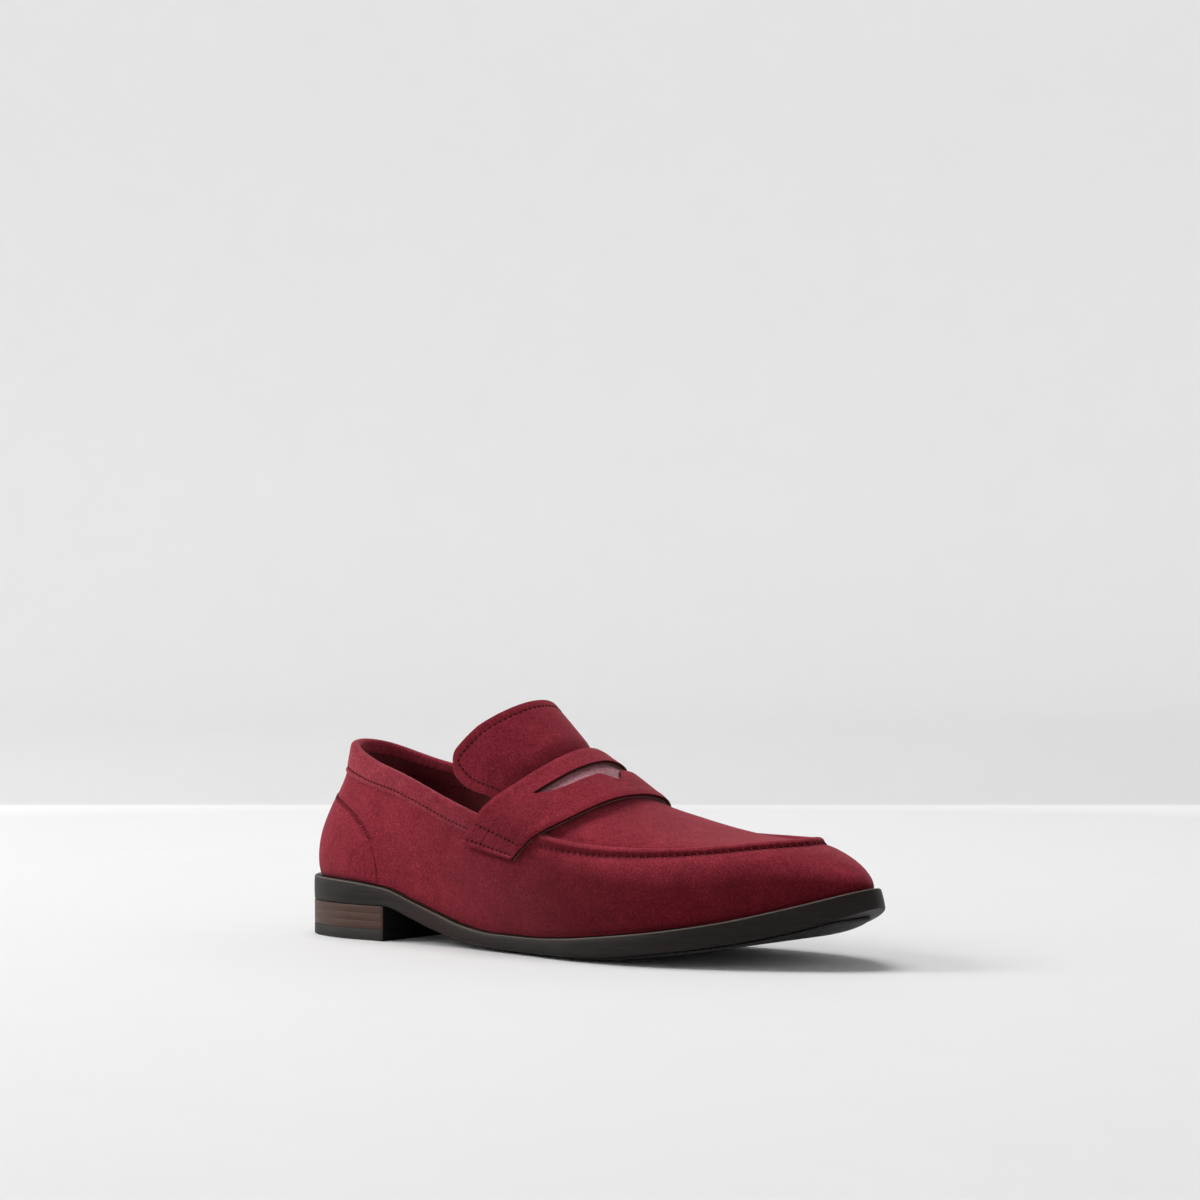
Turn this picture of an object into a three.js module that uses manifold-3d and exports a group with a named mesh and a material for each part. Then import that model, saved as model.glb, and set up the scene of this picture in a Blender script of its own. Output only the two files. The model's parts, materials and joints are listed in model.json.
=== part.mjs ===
// Penny loafer for the right foot, about a men's EU 42.
// Millimetres. +X runs from the heel to the toe, the outer side of the foot is at -Y, +Z is up.
// The shape is drawn from the back of the heel (x = 0) and the ground (z = 0). The finished
// group is then moved so that its origin is at the middle of its underside.
import * as THREE from 'three';
import { mergeVertices } from 'three/addons/utils/BufferGeometryUtils.js';
import Module from 'manifold-3d';

const wasm = await Module();
wasm.setup();

// ---------------------------------------------------------------- driving dimensions

const GAP = 0.3;
const SUEDE = 1.2;
const LINING = 0.8;
const LEDGE = 3.2;

// Stations round the shoe, from the back of the heel along the outer side to the toe and back
// along the inner side. Each holds: sole edge x, y; upper edge x, y, z (the topline, then the
// apron seam); belly of the wall; how upright the wall meets that edge; how far it swells there.
const STATIONS = [
  [0, 0, 17.8, 0, 85.6, 4.5, 1.6, 1.5],
  [8.5, -23.5, 23.5, -14.5, 84.4, 4, 1.5, 1.5],
  [32, -34, 42, -23, 78.4, 2.5, 1.2, 1.5],
  [62, -34.5, 68, -29.6, 72.5, 2, 1, 2],
  [100, -36, 100, -34.8, 62.4, 3, 1, 3],
  [140, -43, 135, -40, 53.5, 4, 0.9, 5],
  [180, -51, 168, -43, 47, 4, 0.8, 7],
  [215, -50, 201, -40, 45.5, 3.5, 0.6, 9],
  [248, -38.5, 230, -31, 47, 3.5, 0.35, 9],
  [275.5, -22, 252, -19, 49.5, 2.5, 0.18, 9],
  [293, -5, 263, -4, 50.4, 1.2, 0.15, 8],
  [294.5, 9, 263.5, 8, 50.6, 1.2, 0.15, 8],
  [280, 26.5, 255, 20.5, 49.4, 2.5, 0.18, 9],
  [255, 41, 233, 32, 48.5, 3.5, 0.35, 9],
  [223, 47, 205, 38, 48.2, 3.5, 0.6, 9],
  [185, 45.5, 172, 39, 50, 4, 0.8, 7],
  [145, 36.5, 138, 37, 55.5, 4, 0.9, 5],
  [104, 30.5, 102, 32.8, 62.8, 3, 1, 3],
  [66, 31, 70, 29.6, 70.6, 2, 1, 2],
  [33, 32.5, 43, 24, 76.6, 2.5, 1.2, 1.5],
  [8.5, 23, 23.5, 15, 83, 4, 1.5, 1.5],
];
const TOE = 10.5;
const ROUND = STATIONS.length;

// Heights along the length: the top of the sole edge, its underside, and the ridge of the instep.
const SOLE_TOP = [
  [0, 26.6], [30, 26.2], [59, 23.6], [75, 18.8], [90, 14.2], [107, 9.8], [126, 7.9],
  [148, 8], [170, 9.2], [195, 11.8], [220, 15], [245, 19.4], [268, 25.2], [297, 34.2],
];
const SOLE_UNDER = [
  [0, 15.4], [59, 15.4], [75, 11], [90, 6.4], [107, 2.9], [126, 1.6],
  [148, 1.5], [170, 1.7], [195, 3], [220, 5.9], [245, 9.8], [268, 15.4], [297, 26],
];
const RIDGE = [
  [135, 88], [150, 80.5], [165, 72], [179, 65], [195, 59.6], [210, 55.6], [230, 52.2], [250, 51.2],
  [266, 51.2],
];

const BREAST = 59;
const CREASE_REACH = 5.5;
const TOE_LEAN = 7.5;
const TOP_PIECE = 5.2;
const LIFTS = 3;
const TREAD = { from: 106, to: 281, inset: 6, thick: 1.2 };
const CORK = { inset: 8, from: 152, to: 280, thick: 1.5 };
const SHANK = { from: 58, to: 146, half: 7, thick: 1.1, steps: 10 };
const BOARD = { inset: 8.4, lift: 2.1, thick: 2.2 };
const PAD = { inset: 9.5, to: 48, thick: 3, fadeFrom: 57, fadeTo: 76 };
const SOCK = { inset: 9.8, thick: 1.2 };
const NAILS = [[14, 0], [26, -17], [26, 17], [46, -18], [46, 18]];
const NAIL = { shank: 1, head: 2.2, headThick: 0.8, tip: 7 };

const COUNTER = { gap: 0.4, thick: 1, reach: 2.72, foot: 0.01, top: 0.61, power: 2.7 };
const COLLAR = { end: 13 / 3, deep: 11, outside: 1, inside: -4.3, thick: 0.7 };
const COLLAR_FOAM = { reach: 10 / 3, from: 1, to: 10 };
const STIFFENER = { from: 1.55, thick: 0.45, foot: 0.03 };
const QUARTER_LINING = { reach: 17 / 3, depth: 2.5, foot: 0.12, top: 0.98 };
const VAMP_LINING = { depth: 2.8, from: 0.16, to: 0.965, foot: 0.14, top: 0.93, across: 0.9 };
const APRON = { start: 5.2, end: 0.94, bow: 24, straight: 0.38, edge: 0.965, crown: 2.4 };
const BEAD = { from: 5.85, to: 15.15, lift: 2, radius: 1.5 };

// The strap's ends lie on the wall: rearProud and frontProud are how far they stand off it at
// the stations rear and front.
const STRAP = {
  rear: 4.3, front: 5.2, endHeight: 0.68, rearProud: 3.8, frontProud: 2.6, crown: 3.2, suede: 1.4, backing: 0.6,
};
const UNDERLAY = { reach: 0.53, rear: 0.16, front: 0.76, thick: 0.8 };
// The penny slot: its ends, its rear edge and its front edge, which is notched in the middle.
const SLOT = { middle: -0.05, half: 0.46, rear: 0.31, front: 0.52, notch: 0.17, notchHalf: 0.11 };

const TONGUE = {
  x: 150, y: -1.2, z: 81.6, half: 31, drop: 34, slope: 42.5, length: 38.5, tuck: 10, sink: 3.2,
  narrow: 1.36, flare: 0.38, shoulder: 2.5, shoulderAt: 0.6, corner: 7, cornerAt: 0.84,
};

const THREAD = 0.45;

// ---------------------------------------------------------------- curves and surfaces

const UP = new THREE.Vector3(0, 0, 1);

function smooth(a, b, x) {
  return THREE.MathUtils.smoothstep(x, a, b);
}

// A curve round the shoe through one point for each station.
function stationCurve(pick) {
  return new THREE.CatmullRomCurve3(STATIONS.map(pick), true, 'catmullrom', 0.5);
}

const soleCurve = stationCurve((s) => new THREE.Vector3(s[0], s[1], 0));
const edgeCurve = stationCurve((s) => new THREE.Vector3(s[2], s[3], s[4]));
const formCurve = stationCurve((s) => new THREE.Vector3(s[5], s[6], s[7]));

function around(curve, u) {
  return curve.getPoint(THREE.MathUtils.euclideanModulo(u, ROUND) / ROUND);
}

// A smooth height through [x, z] points that never overshoots them.
function heightAlong(points) {
  const last = points.length - 1;
  const rise = (i) => (points[i + 1][1] - points[i][1]) / (points[i + 1][0] - points[i][0]);
  const slopes = points.map((p, i) => {
    if (i === 0 || i === last) return rise(Math.min(i, last - 1));
    const [a, b] = [rise(i - 1), rise(i)];
    return a * b <= 0 ? 0 : (2 * a * b) / (a + b);
  });
  return (x) => {
    const at = THREE.MathUtils.clamp(x, points[0][0], points[last][0]);
    const i = Math.min(points.findLastIndex((p) => p[0] <= at), last - 1);
    const span = points[i + 1][0] - points[i][0];
    const f = (at - points[i][0]) / span;
    const g = f * f * (3 - 2 * f);
    const bend = span * (slopes[i] * f * (1 - f) ** 2 - slopes[i + 1] * f * f * (1 - f));
    return points[i][1] * (1 - g) + points[i + 1][1] * g + bend;
  };
}

const soleTop = heightAlong(SOLE_TOP);
const soleUnder = heightAlong(SOLE_UNDER);
const ridge = heightAlong(RIDGE);

function outward(u) {
  const step = 0.01;
  const run = around(soleCurve, u + step).sub(around(soleCurve, u - step));
  return new THREE.Vector3(run.y, -run.x, 0).normalize();
}

function soleEdge(u, inset = 0) {
  return around(soleCurve, u).addScaledVector(outward(u), -inset);
}

// The outside of the upper's wall: h is 0 at the sole and 1 at the topline or the apron seam.
function wallPoint(u, h) {
  const foot = soleEdge(u, LEDGE);
  foot.z = soleTop(foot.x) + GAP;
  const edge = around(edgeCurve, u);
  const form = around(formCurve, u);
  const out = outward(u);
  const height = edge.z - foot.z;
  const low = foot.clone().addScaledVector(UP, 0.4 * height).addScaledVector(out, 1.25 * form.x);
  const high = edge.clone().addScaledVector(UP, -0.25 * form.y * height).addScaledVector(out, form.z);
  return new THREE.CubicBezierCurve3(foot, low, high, edge).getPoint(h);
}

// A point of a surface, moved along its normal.
function offsetPoint(surface, a, b, offset, flip = 1) {
  const step = 0.004;
  const along = surface(a + step, b).sub(surface(a - step, b));
  const across = surface(a, b + step).sub(surface(a, b - step));
  const normal = along.cross(across).normalize();
  return surface(a, b).addScaledVector(normal, flip * offset);
}

function wallAt(u, h, offset = 0) {
  return offsetPoint(wallPoint, u, h, offset);
}

// The top of the forefoot between the two apron seams: s runs to the toe, t from -1 on the
// outer seam to 1 on the inner one.
function roofPoint(s, t) {
  const outer = around(edgeCurve, APRON.start + (TOE - APRON.start) * s);
  const inner = around(edgeCurve, ROUND - APRON.start - (TOE - APRON.start) * s);
  const bow = APRON.bow * (1 - smooth(0, 1, s / APRON.straight));
  const point = outer.clone().lerp(inner, (t + 1) / 2);
  const crest = ridge((outer.x + inner.x) / 2 + bow) - (outer.z + inner.z) / 2;
  point.x += bow * (1 - t * t);
  point.z += crest * (1 - Math.abs(t) ** APRON.crown);
  return point;
}

function roofAt(s, t, offset = 0) {
  return offsetPoint(roofPoint, s, t, offset);
}

// ---------------------------------------------------------------- solids from surfaces

// One closed body with its faces turned outwards and its empty triangles dropped.
function solid(vertices, triangles) {
  const geometry = new THREE.BufferGeometry();
  geometry.setAttribute('position', new THREE.Float32BufferAttribute(vertices.flat(), 3));
  geometry.setIndex(triangles.flat());
  const welded = mergeVertices(geometry, 1e-3);
  const index = [...welded.index.array];
  const corner = (i) => new THREE.Vector3().fromBufferAttribute(welded.attributes.position, i);
  const kept = [];
  let volume = 0;
  for (let i = 0; i < index.length; i += 3) {
    const [a, b, c] = index.slice(i, i + 3);
    if (a === b || b === c || c === a) continue;
    kept.push(a, b, c);
    volume += corner(a).dot(corner(b).cross(corner(c)));
  }
  welded.setIndex(volume < 0 ? kept.reverse() : kept);
  return welded;
}

// A closed solid between two sheets of points. outer and inner give a point for the fractions
// (a, b); keep says which cells exist; closed joins the last column to the first; and folded
// leaves the last column without an edge wall, where the sheet meets itself.
function sheet({ columns, rows, outer, inner, closed = false, folded = false, keep = () => true }) {
  const wide = closed ? columns : columns + 1;
  const vertices = [];
  for (const face of [outer, inner]) {
    for (let i = 0; i < wide; i += 1) {
      for (let j = 0; j <= rows; j += 1) vertices.push(face(i / columns, j / rows).toArray());
    }
  }
  const layer = wide * (rows + 1);
  const id = (i, j, side) => (i % wide) * (rows + 1) + j + side * layer;
  const exists = (i, j) => {
    const column = closed ? (i + columns) % columns : i;
    return column >= 0 && column < columns && j >= 0 && j < rows && keep(column, j);
  };
  const triangles = [];
  const quad = (a, b, c, d) => triangles.push([a, b, c], [a, c, d]);
  const wall = (i, j, k, l) => quad(id(i, j, 0), id(i, j, 1), id(k, l, 1), id(k, l, 0));
  for (let i = 0; i < columns; i += 1) {
    for (let j = 0; j < rows; j += 1) {
      if (!exists(i, j)) continue;
      quad(id(i, j, 0), id(i + 1, j, 0), id(i + 1, j + 1, 0), id(i, j + 1, 0));
      quad(id(i, j, 1), id(i, j + 1, 1), id(i + 1, j + 1, 1), id(i + 1, j, 1));
      if (!exists(i, j - 1)) wall(i, j, i + 1, j);
      if (!exists(i, j + 1)) wall(i + 1, j + 1, i, j + 1);
      if (!exists(i - 1, j)) wall(i, j + 1, i, j);
      if (!exists(i + 1, j) && !(folded && i === columns - 1)) wall(i + 1, j, i + 1, j + 1);
    }
  }
  return solid(vertices, triangles);
}

// A skin that follows a surface between two depths below it.
function skin(surface, from, to, options) {
  const face = (depth) => (a, b) => surface(a, b, -depth);
  return sheet({ outer: face(from), inner: face(to), ...options });
}

// The station at which one side of the sole edge passes an x.
function stationAt(x, heel) {
  let [low, high] = [heel, TOE];
  for (let k = 0; k < 24; k += 1) {
    const half = (low + high) / 2;
    if (around(soleCurve, half).x < x) low = half;
    else high = half;
  }
  return (low + high) / 2;
}

// A flat layer inside the sole outline, between two heights given for each x. lean tips the
// upper and the lower outline forwards where the toe rises, and crease pulls one column to an x.
function layer({ inset, from, to, upper, lower, columns = 28, rows = 2, lean = [0, 0], crease }) {
  const [outerFrom, innerFrom] = from ? [stationAt(from, 0), stationAt(from, ROUND)] : [0, ROUND];
  const [outerTo, innerTo] = to ? [stationAt(to, 0), stationAt(to, ROUND)] : [TOE, TOE];
  const { lerp } = THREE.MathUtils;
  const face = (height, slide) => (a, b) => {
    const outer = soleEdge(lerp(outerFrom, outerTo, a), inset);
    const point = outer.lerp(soleEdge(lerp(innerFrom, innerTo, a), inset), b);
    if (Math.abs(point.x - crease) < CREASE_REACH) point.x = crease;
    point.z = height(point.x);
    point.x += slide * Math.max(0, soleTop(point.x) - soleTop(point.x - 1));
    return point;
  };
  return sheet({ columns, rows, outer: face(upper, lean[0]), inner: face(lower, lean[1]) });
}

function pointRow(count, place) {
  return Array.from({ length: count + 1 }, (_, k) => place(k / count));
}

// A thread or cord along points.
function thread(points, radius, steps, sides = 6) {
  const section = new THREE.Shape();
  for (let k = 0; k < sides; k += 1) {
    const turn = (k / sides) * 2 * Math.PI;
    const [x, y] = [radius * Math.cos(turn), radius * Math.sin(turn)];
    if (k === 0) section.moveTo(x, y);
    else section.lineTo(x, y);
  }
  section.closePath();
  const extrudePath = new THREE.CatmullRomCurve3(points);
  return new THREE.ExtrudeGeometry(section, { steps, extrudePath, bevelEnabled: false });
}

// ---------------------------------------------------------------- cutting

function toManifold(geometry) {
  const bare = geometry.clone();
  bare.deleteAttribute('normal');
  bare.deleteAttribute('uv');
  const welded = mergeVertices(bare, 1e-4);
  const vertProperties = new Float32Array(welded.attributes.position.array);
  const triVerts = new Uint32Array(welded.index.array);
  return new wasm.Manifold(new wasm.Mesh({ numProp: 3, vertProperties, triVerts }));
}

function subtract(geometry, cutters) {
  let body = toManifold(geometry);
  for (const cutter of cutters) body = body.subtract(toManifold(cutter));
  const mesh = body.getMesh();
  const result = new THREE.BufferGeometry();
  result.setAttribute('position', new THREE.BufferAttribute(mesh.vertProperties, 3));
  result.setIndex([...mesh.triVerts]);
  return result;
}

function upright(radius, bottom, top, x, y, sides = 6) {
  const geometry = new THREE.CylinderGeometry(radius, radius, top - bottom, sides);
  geometry.rotateX(Math.PI / 2);
  geometry.translate(x, y, (top + bottom) / 2);
  return geometry;
}

// ---------------------------------------------------------------- finishes

function finish(color, roughness, metalness = 0) {
  return new THREE.MeshStandardMaterial({ color, roughness, metalness });
}

const suede = finish(0x82303a, 0.92);
const suedeTrim = finish(0x7a2a35, 0.92);
const liningLeather = finish(0x4a1219, 0.6);
const pinkLeather = finish(0xb08088, 0.55);
const soleEdgeLeather = finish(0x3c3836, 0.42);
const stackedLeather = finish(0x5c4c42, 0.42);
const rubber = finish(0x3a3a3b, 0.7);
const cottonThread = finish(0x5e1c26, 0.8);
const fibreBoard = finish(0x9a7f62, 0.85);
const corkMix = finish(0xa87f55, 0.95);
const foam = finish(0xd9cfc0, 0.95);
const stiffener = finish(0xb9b2a4, 0.8);
const steel = finish(0x8b8d90, 0.35, 0.9);

const loafer = new THREE.Group();

function add(name, geometry, material) {
  const mesh = new THREE.Mesh(geometry, material);
  mesh.name = name;
  loafer.add(mesh);
}

// ---------------------------------------------------------------- sole and heel

const insoleUnder = (x) => soleTop(x) + BOARD.lift;
const insoleTop = (x) => insoleUnder(x) + BOARD.thick;
const padTop = (x) => insoleTop(x) + 2 * GAP + PAD.thick * (1 - smooth(PAD.fadeFrom, PAD.fadeTo, x));

function nailHole([x, y]) {
  return upright(NAIL.shank + GAP, 0, 40, x, y);
}

function makeOutsole() {
  const body = layer({
    inset: 0, upper: soleTop, lower: soleUnder, lean: [0, TOE_LEAN], crease: BREAST, columns: 34,
  });
  return subtract(body, NAILS.map(nailHole));
}

// The heel's layers share one outline, cut off straight at the breast.
function heelShape() {
  const shape = new THREE.Shape();
  const points = [];
  for (let u = -3; u <= 3; u += 0.5) points.push(soleEdge(u));
  const behind = points.filter((p) => p.x < BREAST - 1);
  const [first, last] = [behind[0], behind[behind.length - 1]];
  shape.moveTo(BREAST, first.y);
  for (const point of behind) shape.lineTo(point.x, point.y);
  shape.lineTo(BREAST, last.y);
  shape.closePath();
  return shape;
}

function heelLayer(bottom, top) {
  const geometry = new THREE.ExtrudeGeometry(heelShape(), { depth: top - bottom, bevelEnabled: false });
  geometry.translate(0, 0, bottom);
  return geometry;
}

function makeHeel() {
  add('top_piece', heelLayer(0, TOP_PIECE), rubber);
  const pitch = (soleUnder(0) - TOP_PIECE) / LIFTS;
  for (let k = 0; k < LIFTS; k += 1) {
    const bottom = TOP_PIECE + k * pitch + GAP;
    const lift = heelLayer(bottom, TOP_PIECE + (k + 1) * pitch - (k === LIFTS - 1 ? GAP : 0));
    add(`heel_lift_${k + 1}`, subtract(lift, NAILS.map(nailHole)), stackedLeather);
  }
  NAILS.forEach(([x, y], k) => {
    const seat = soleTop(x) + GAP;
    const shank = toManifold(upright(NAIL.shank, NAIL.tip, seat + NAIL.headThick / 2, x, y));
    const nail = shank.add(toManifold(upright(NAIL.head, seat, seat + NAIL.headThick, x, y)));
    const mesh = nail.getMesh();
    const geometry = new THREE.BufferGeometry();
    geometry.setAttribute('position', new THREE.BufferAttribute(mesh.vertProperties, 3));
    geometry.setIndex([...mesh.triVerts]);
    add(`heel_nail_${k + 1}`, geometry, steel);
  });
}

function makeTread() {
  const { from, to, inset, thick } = TREAD;
  const upper = (x) => soleUnder(x) - GAP;
  const lean = [TOE_LEAN, TOE_LEAN];
  return layer({ inset, from, to, upper, lower: (x) => upper(x) - thick, lean });
}

function makeCork() {
  const { inset, from, to, thick } = CORK;
  const lower = (x) => soleTop(x) + GAP;
  return layer({ inset, from, to, upper: (x) => lower(x) + thick, lower });
}

function makeShank() {
  const { from, to, half, thick, steps } = SHANK;
  const point = (k, lift) => {
    const x = from + ((to - from) * k) / steps;
    return new THREE.Vector2(x, soleTop(x) + lift);
  };
  const rim = [];
  for (let k = 0; k <= steps; k += 1) rim.push(point(k, 2 * GAP));
  for (let k = steps; k >= 0; k -= 1) rim.push(point(k, 2 * GAP + thick));
  const shank = new THREE.ExtrudeGeometry(new THREE.Shape(rim), { depth: 2 * half, bevelEnabled: false });
  shank.rotateX(Math.PI / 2);
  shank.translate(0, half, 0);
  return shank;
}

function makeHeelPad() {
  const lower = (x) => insoleTop(x) + 1.5 * GAP;
  return layer({ inset: PAD.inset, to: PAD.to, upper: padTop, lower, columns: 16 });
}

function makeSockLiner() {
  const lower = (x) => padTop(x) + GAP;
  return layer({ inset: SOCK.inset, upper: (x) => lower(x) + SOCK.thick, lower });
}

// ---------------------------------------------------------------- upper

function makeSkirt() {
  const surface = (a, b, offset) => wallAt(ROUND * a, b, offset);
  return skin(surface, 0, SUEDE, { columns: 63, rows: 7, closed: true });
}

// The cover behind the heel: as high as a superellipse over its reach to each side.
function counterSurface(a, b, offset) {
  const side = Math.sin((a - 0.5) * Math.PI);
  const height = COUNTER.top * (1 - Math.abs(side) ** COUNTER.power) ** (1 / COUNTER.power);
  return wallAt(COUNTER.reach * side, COUNTER.foot + height * b, offset);
}

function makeCounterCover() {
  return skin(counterSurface, -COUNTER.gap - COUNTER.thick, -COUNTER.gap, { columns: 24, rows: 4 });
}

// A stiffening sheet between the wall and the lining, for stations within reach of a middle.
function makeStiffener(middle, reach, top) {
  const { from, thick, foot } = STIFFENER;
  const surface = (a, b, offset) => wallAt(middle + reach * (2 * a - 1), foot + (top - foot) * b, offset);
  return skin(surface, from, from + thick, { columns: Math.round(6 * reach), rows: 4 });
}

// The collar: depth is measured down from the topline, and the band runs up the outside,
// over the edge and down the inside.
function collarPoint(u, depth, offset) {
  const height = around(edgeCurve, u).z - soleTop(around(soleCurve, u).x);
  return wallAt(u, 1 - depth / height, offset);
}

function collarFace(layerOffset) {
  const { end, deep, outside, inside } = COLLAR;
  const outer = outside - layerOffset;
  const inner = inside + layerOffset;
  return (a, b) => {
    const u = end * (2 * a - 1);
    const part = 3 * b;
    if (part <= 1) return collarPoint(u, deep * (1 - part), outer);
    if (part >= 2) return collarPoint(u, deep * (part - 2), inner);
    const turn = Math.PI * (part - 1);
    const radius = (outer - inner) / 2;
    return collarPoint(u, -radius * Math.sin(turn), (outer + inner) / 2 + radius * Math.cos(turn));
  };
}

function makeCollarFoam() {
  const { reach, from, to } = COLLAR_FOAM;
  const surface = (a, b, offset) => collarPoint(reach * (2 * a - 1), to + (from - to) * b, offset);
  return skin(surface, STIFFENER.from, STIFFENER.from + STIFFENER.thick, { columns: 20, rows: 2 });
}

function makeQuarterLining() {
  const { reach, depth, foot, top } = QUARTER_LINING;
  const surface = (a, b, offset) => wallAt(reach * (2 * a - 1), foot + (top - foot) * b, offset);
  return skin(surface, depth, depth + LINING, { columns: 34, rows: 5 });
}

// The vamp lining runs up the outer wall, across under the apron and down the inner wall.
function vampLiningSurface(a, b, offset) {
  const { from, to, foot, top, across } = VAMP_LINING;
  const s = from + (to - from) * a;
  const u = APRON.start + (TOE - APRON.start) * s;
  const part = 3 * b;
  if (part < 1) return wallAt(u, foot + (top - foot) * part, offset);
  if (part > 2) return wallAt(ROUND - u, foot + (top - foot) * (3 - part), offset);
  return roofAt(s, across * (2 * part - 3), offset);
}

function makeVampLining() {
  const { depth } = VAMP_LINING;
  return skin(vampLiningSurface, depth, depth + LINING, { columns: 14, rows: 9 });
}

function makeApron() {
  const surface = (a, b, offset) => roofAt(APRON.end * a, APRON.edge * (2 * b - 1), offset);
  return skin(surface, 0, SUEDE, { columns: 18, rows: 8 });
}

// The raised seam round the apron, just above the wall's upper edge.
function makeBead() {
  const { from, to, lift, radius } = BEAD;
  const points = pointRow(48, (f) => wallAt(from + (to - from) * f, 1, lift));
  return thread(points, radius, 40, 7);
}

// ---------------------------------------------------------------- strap

// The strap's rear and front edges, from its outer end over the instep to its inner end.
const strapEnd = (u, proud) => wallAt(u, STRAP.endHeight, proud);
const REAR_EDGE = [
  strapEnd(STRAP.rear, STRAP.rearProud),
  new THREE.Vector3(122.7, -41.4, 62.9),
  new THREE.Vector3(134.5, -31.5, 74),
  new THREE.Vector3(143.5, -15.5, 83.5),
  new THREE.Vector3(146.5, 0, 87.2),
  new THREE.Vector3(144, 15.5, 84.5),
  new THREE.Vector3(136, 29.5, 77),
  new THREE.Vector3(125, 39.4, 65),
  strapEnd(ROUND - STRAP.rear, STRAP.rearProud),
];
const FRONT_EDGE = [
  strapEnd(STRAP.front, STRAP.frontProud),
  new THREE.Vector3(152.5, -45.2, 51),
  new THREE.Vector3(164.5, -37, 59),
  new THREE.Vector3(175, -20.5, 66.8),
  new THREE.Vector3(178.7, -2, 68.6),
  new THREE.Vector3(177.5, 16, 65.8),
  new THREE.Vector3(170.5, 30, 60.5),
  new THREE.Vector3(159, 43.6, 52.5),
  strapEnd(ROUND - STRAP.front, STRAP.frontProud),
];
const rearEdge = new THREE.CatmullRomCurve3(REAR_EDGE);
const frontEdge = new THREE.CatmullRomCurve3(FRONT_EDGE);

// t runs along the strap from -1 to 1, w across it from 0 at the rear to 1 at the front.
function strapPoint(t, w) {
  const at = THREE.MathUtils.clamp((t + 1) / 2, 0, 1);
  const point = rearEdge.getPoint(at).lerp(frontEdge.getPoint(at), w);
  point.z += STRAP.crown * w * (1 - w) * (1 - t * t);
  return point;
}

function strapAt(t, w, offset = 0) {
  return offsetPoint(strapPoint, t, w, offset, -1);
}

// Where the slot's rear or front edge lies across the strap. Past the slot's ends they run on
// as one narrow row of cells.
function slotEdge(t, front) {
  const side = (t - SLOT.middle) / SLOT.half;
  const open = Math.max(0, 1 - side ** 6);
  const [line, half] = [SLOT.rear + 0.02, 0.012];
  if (!front) return line - half - (line - half - SLOT.rear) * Math.min(open, 1 - side * side);
  const notch = Math.max(0, 1 - Math.abs(t - SLOT.middle) / SLOT.notchHalf);
  return line + half + (SLOT.front - line) * open + SLOT.notch * notch;
}

function makeStrap(from, to) {
  const columns = 38;
  const rows = 5;
  const slotRow = 2;
  const along = (a) => 2 * a - 1;
  const surface = (a, b, offset) => {
    const t = along(a);
    const row = Math.round(b * rows);
    if (row <= slotRow) return strapAt(t, (slotEdge(t, false) * row) / slotRow, offset);
    const front = slotEdge(t, true);
    const rest = (row - slotRow - 1) / (rows - slotRow - 1);
    return strapAt(t, front + (1 - front) * rest, offset);
  };
  const inSlot = (t) => Math.abs(t - SLOT.middle) < SLOT.half;
  const keep = (i, j) => j !== slotRow || !(inSlot(along(i / columns)) && inSlot(along((i + 1) / columns)));
  return skin(surface, from, to, { columns, rows, keep });
}

function makeUnderlay() {
  const { reach, rear, front, thick } = UNDERLAY;
  const surface = (a, b, offset) => strapAt(reach * (2 * a - 1), rear + (front - rear) * b, offset);
  const depth = STRAP.suede + STRAP.backing + 2 * GAP;
  return skin(surface, depth, depth + thick, { columns: 24, rows: 4 });
}

// ---------------------------------------------------------------- tongue

const slope = THREE.MathUtils.degToRad(TONGUE.slope);
const alongTongue = new THREE.Vector3(-Math.cos(slope), 0, Math.sin(slope));
const aboveTongue = new THREE.Vector3(Math.sin(slope), 0, Math.cos(slope));

// The tongue is an arch: s runs up it from the strap, and turn goes round it from its ridge.
function tonguePoint(s, turn) {
  const { x, y, z, half, drop } = TONGUE;
  const point = new THREE.Vector3(x, y + half * Math.sin(turn), z);
  const sink = TONGUE.sink * (1 - smooth(2, 16, s));
  point.addScaledVector(alongTongue, s);
  return point.addScaledVector(aboveTongue, drop * (Math.cos(turn) - 1) - sink);
}

function tongueSurface(a, b, offset) {
  const { shoulder, shoulderAt, corner, cornerAt, narrow, flare } = TONGUE;
  const side = 2 * b - 1;
  const rise = shoulder * Math.min(1, Math.abs(side) / shoulderAt) ** 2;
  const cut = corner * (Math.max(0, Math.abs(side) - cornerAt) / (1 - cornerAt)) ** 2;
  const s = -TONGUE.tuck + (TONGUE.length + rise - cut + TONGUE.tuck) * a;
  const reach = narrow + flare * smooth(0, 30, s);
  return offsetPoint(tonguePoint, s, reach * side, offset, -1);
}

// ---------------------------------------------------------------- assembly

add('outsole', makeOutsole(), soleEdgeLeather);
add('forefoot_tread', makeTread(), rubber);
makeHeel();
add('cork_filler', makeCork(), corkMix);
add('shank', makeShank(), steel);
add('insole_board', layer({ inset: BOARD.inset, upper: insoleTop, lower: insoleUnder }), fibreBoard);
add('heel_pad', makeHeelPad(), foam);
add('sock_liner', makeSockLiner(), liningLeather);

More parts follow.
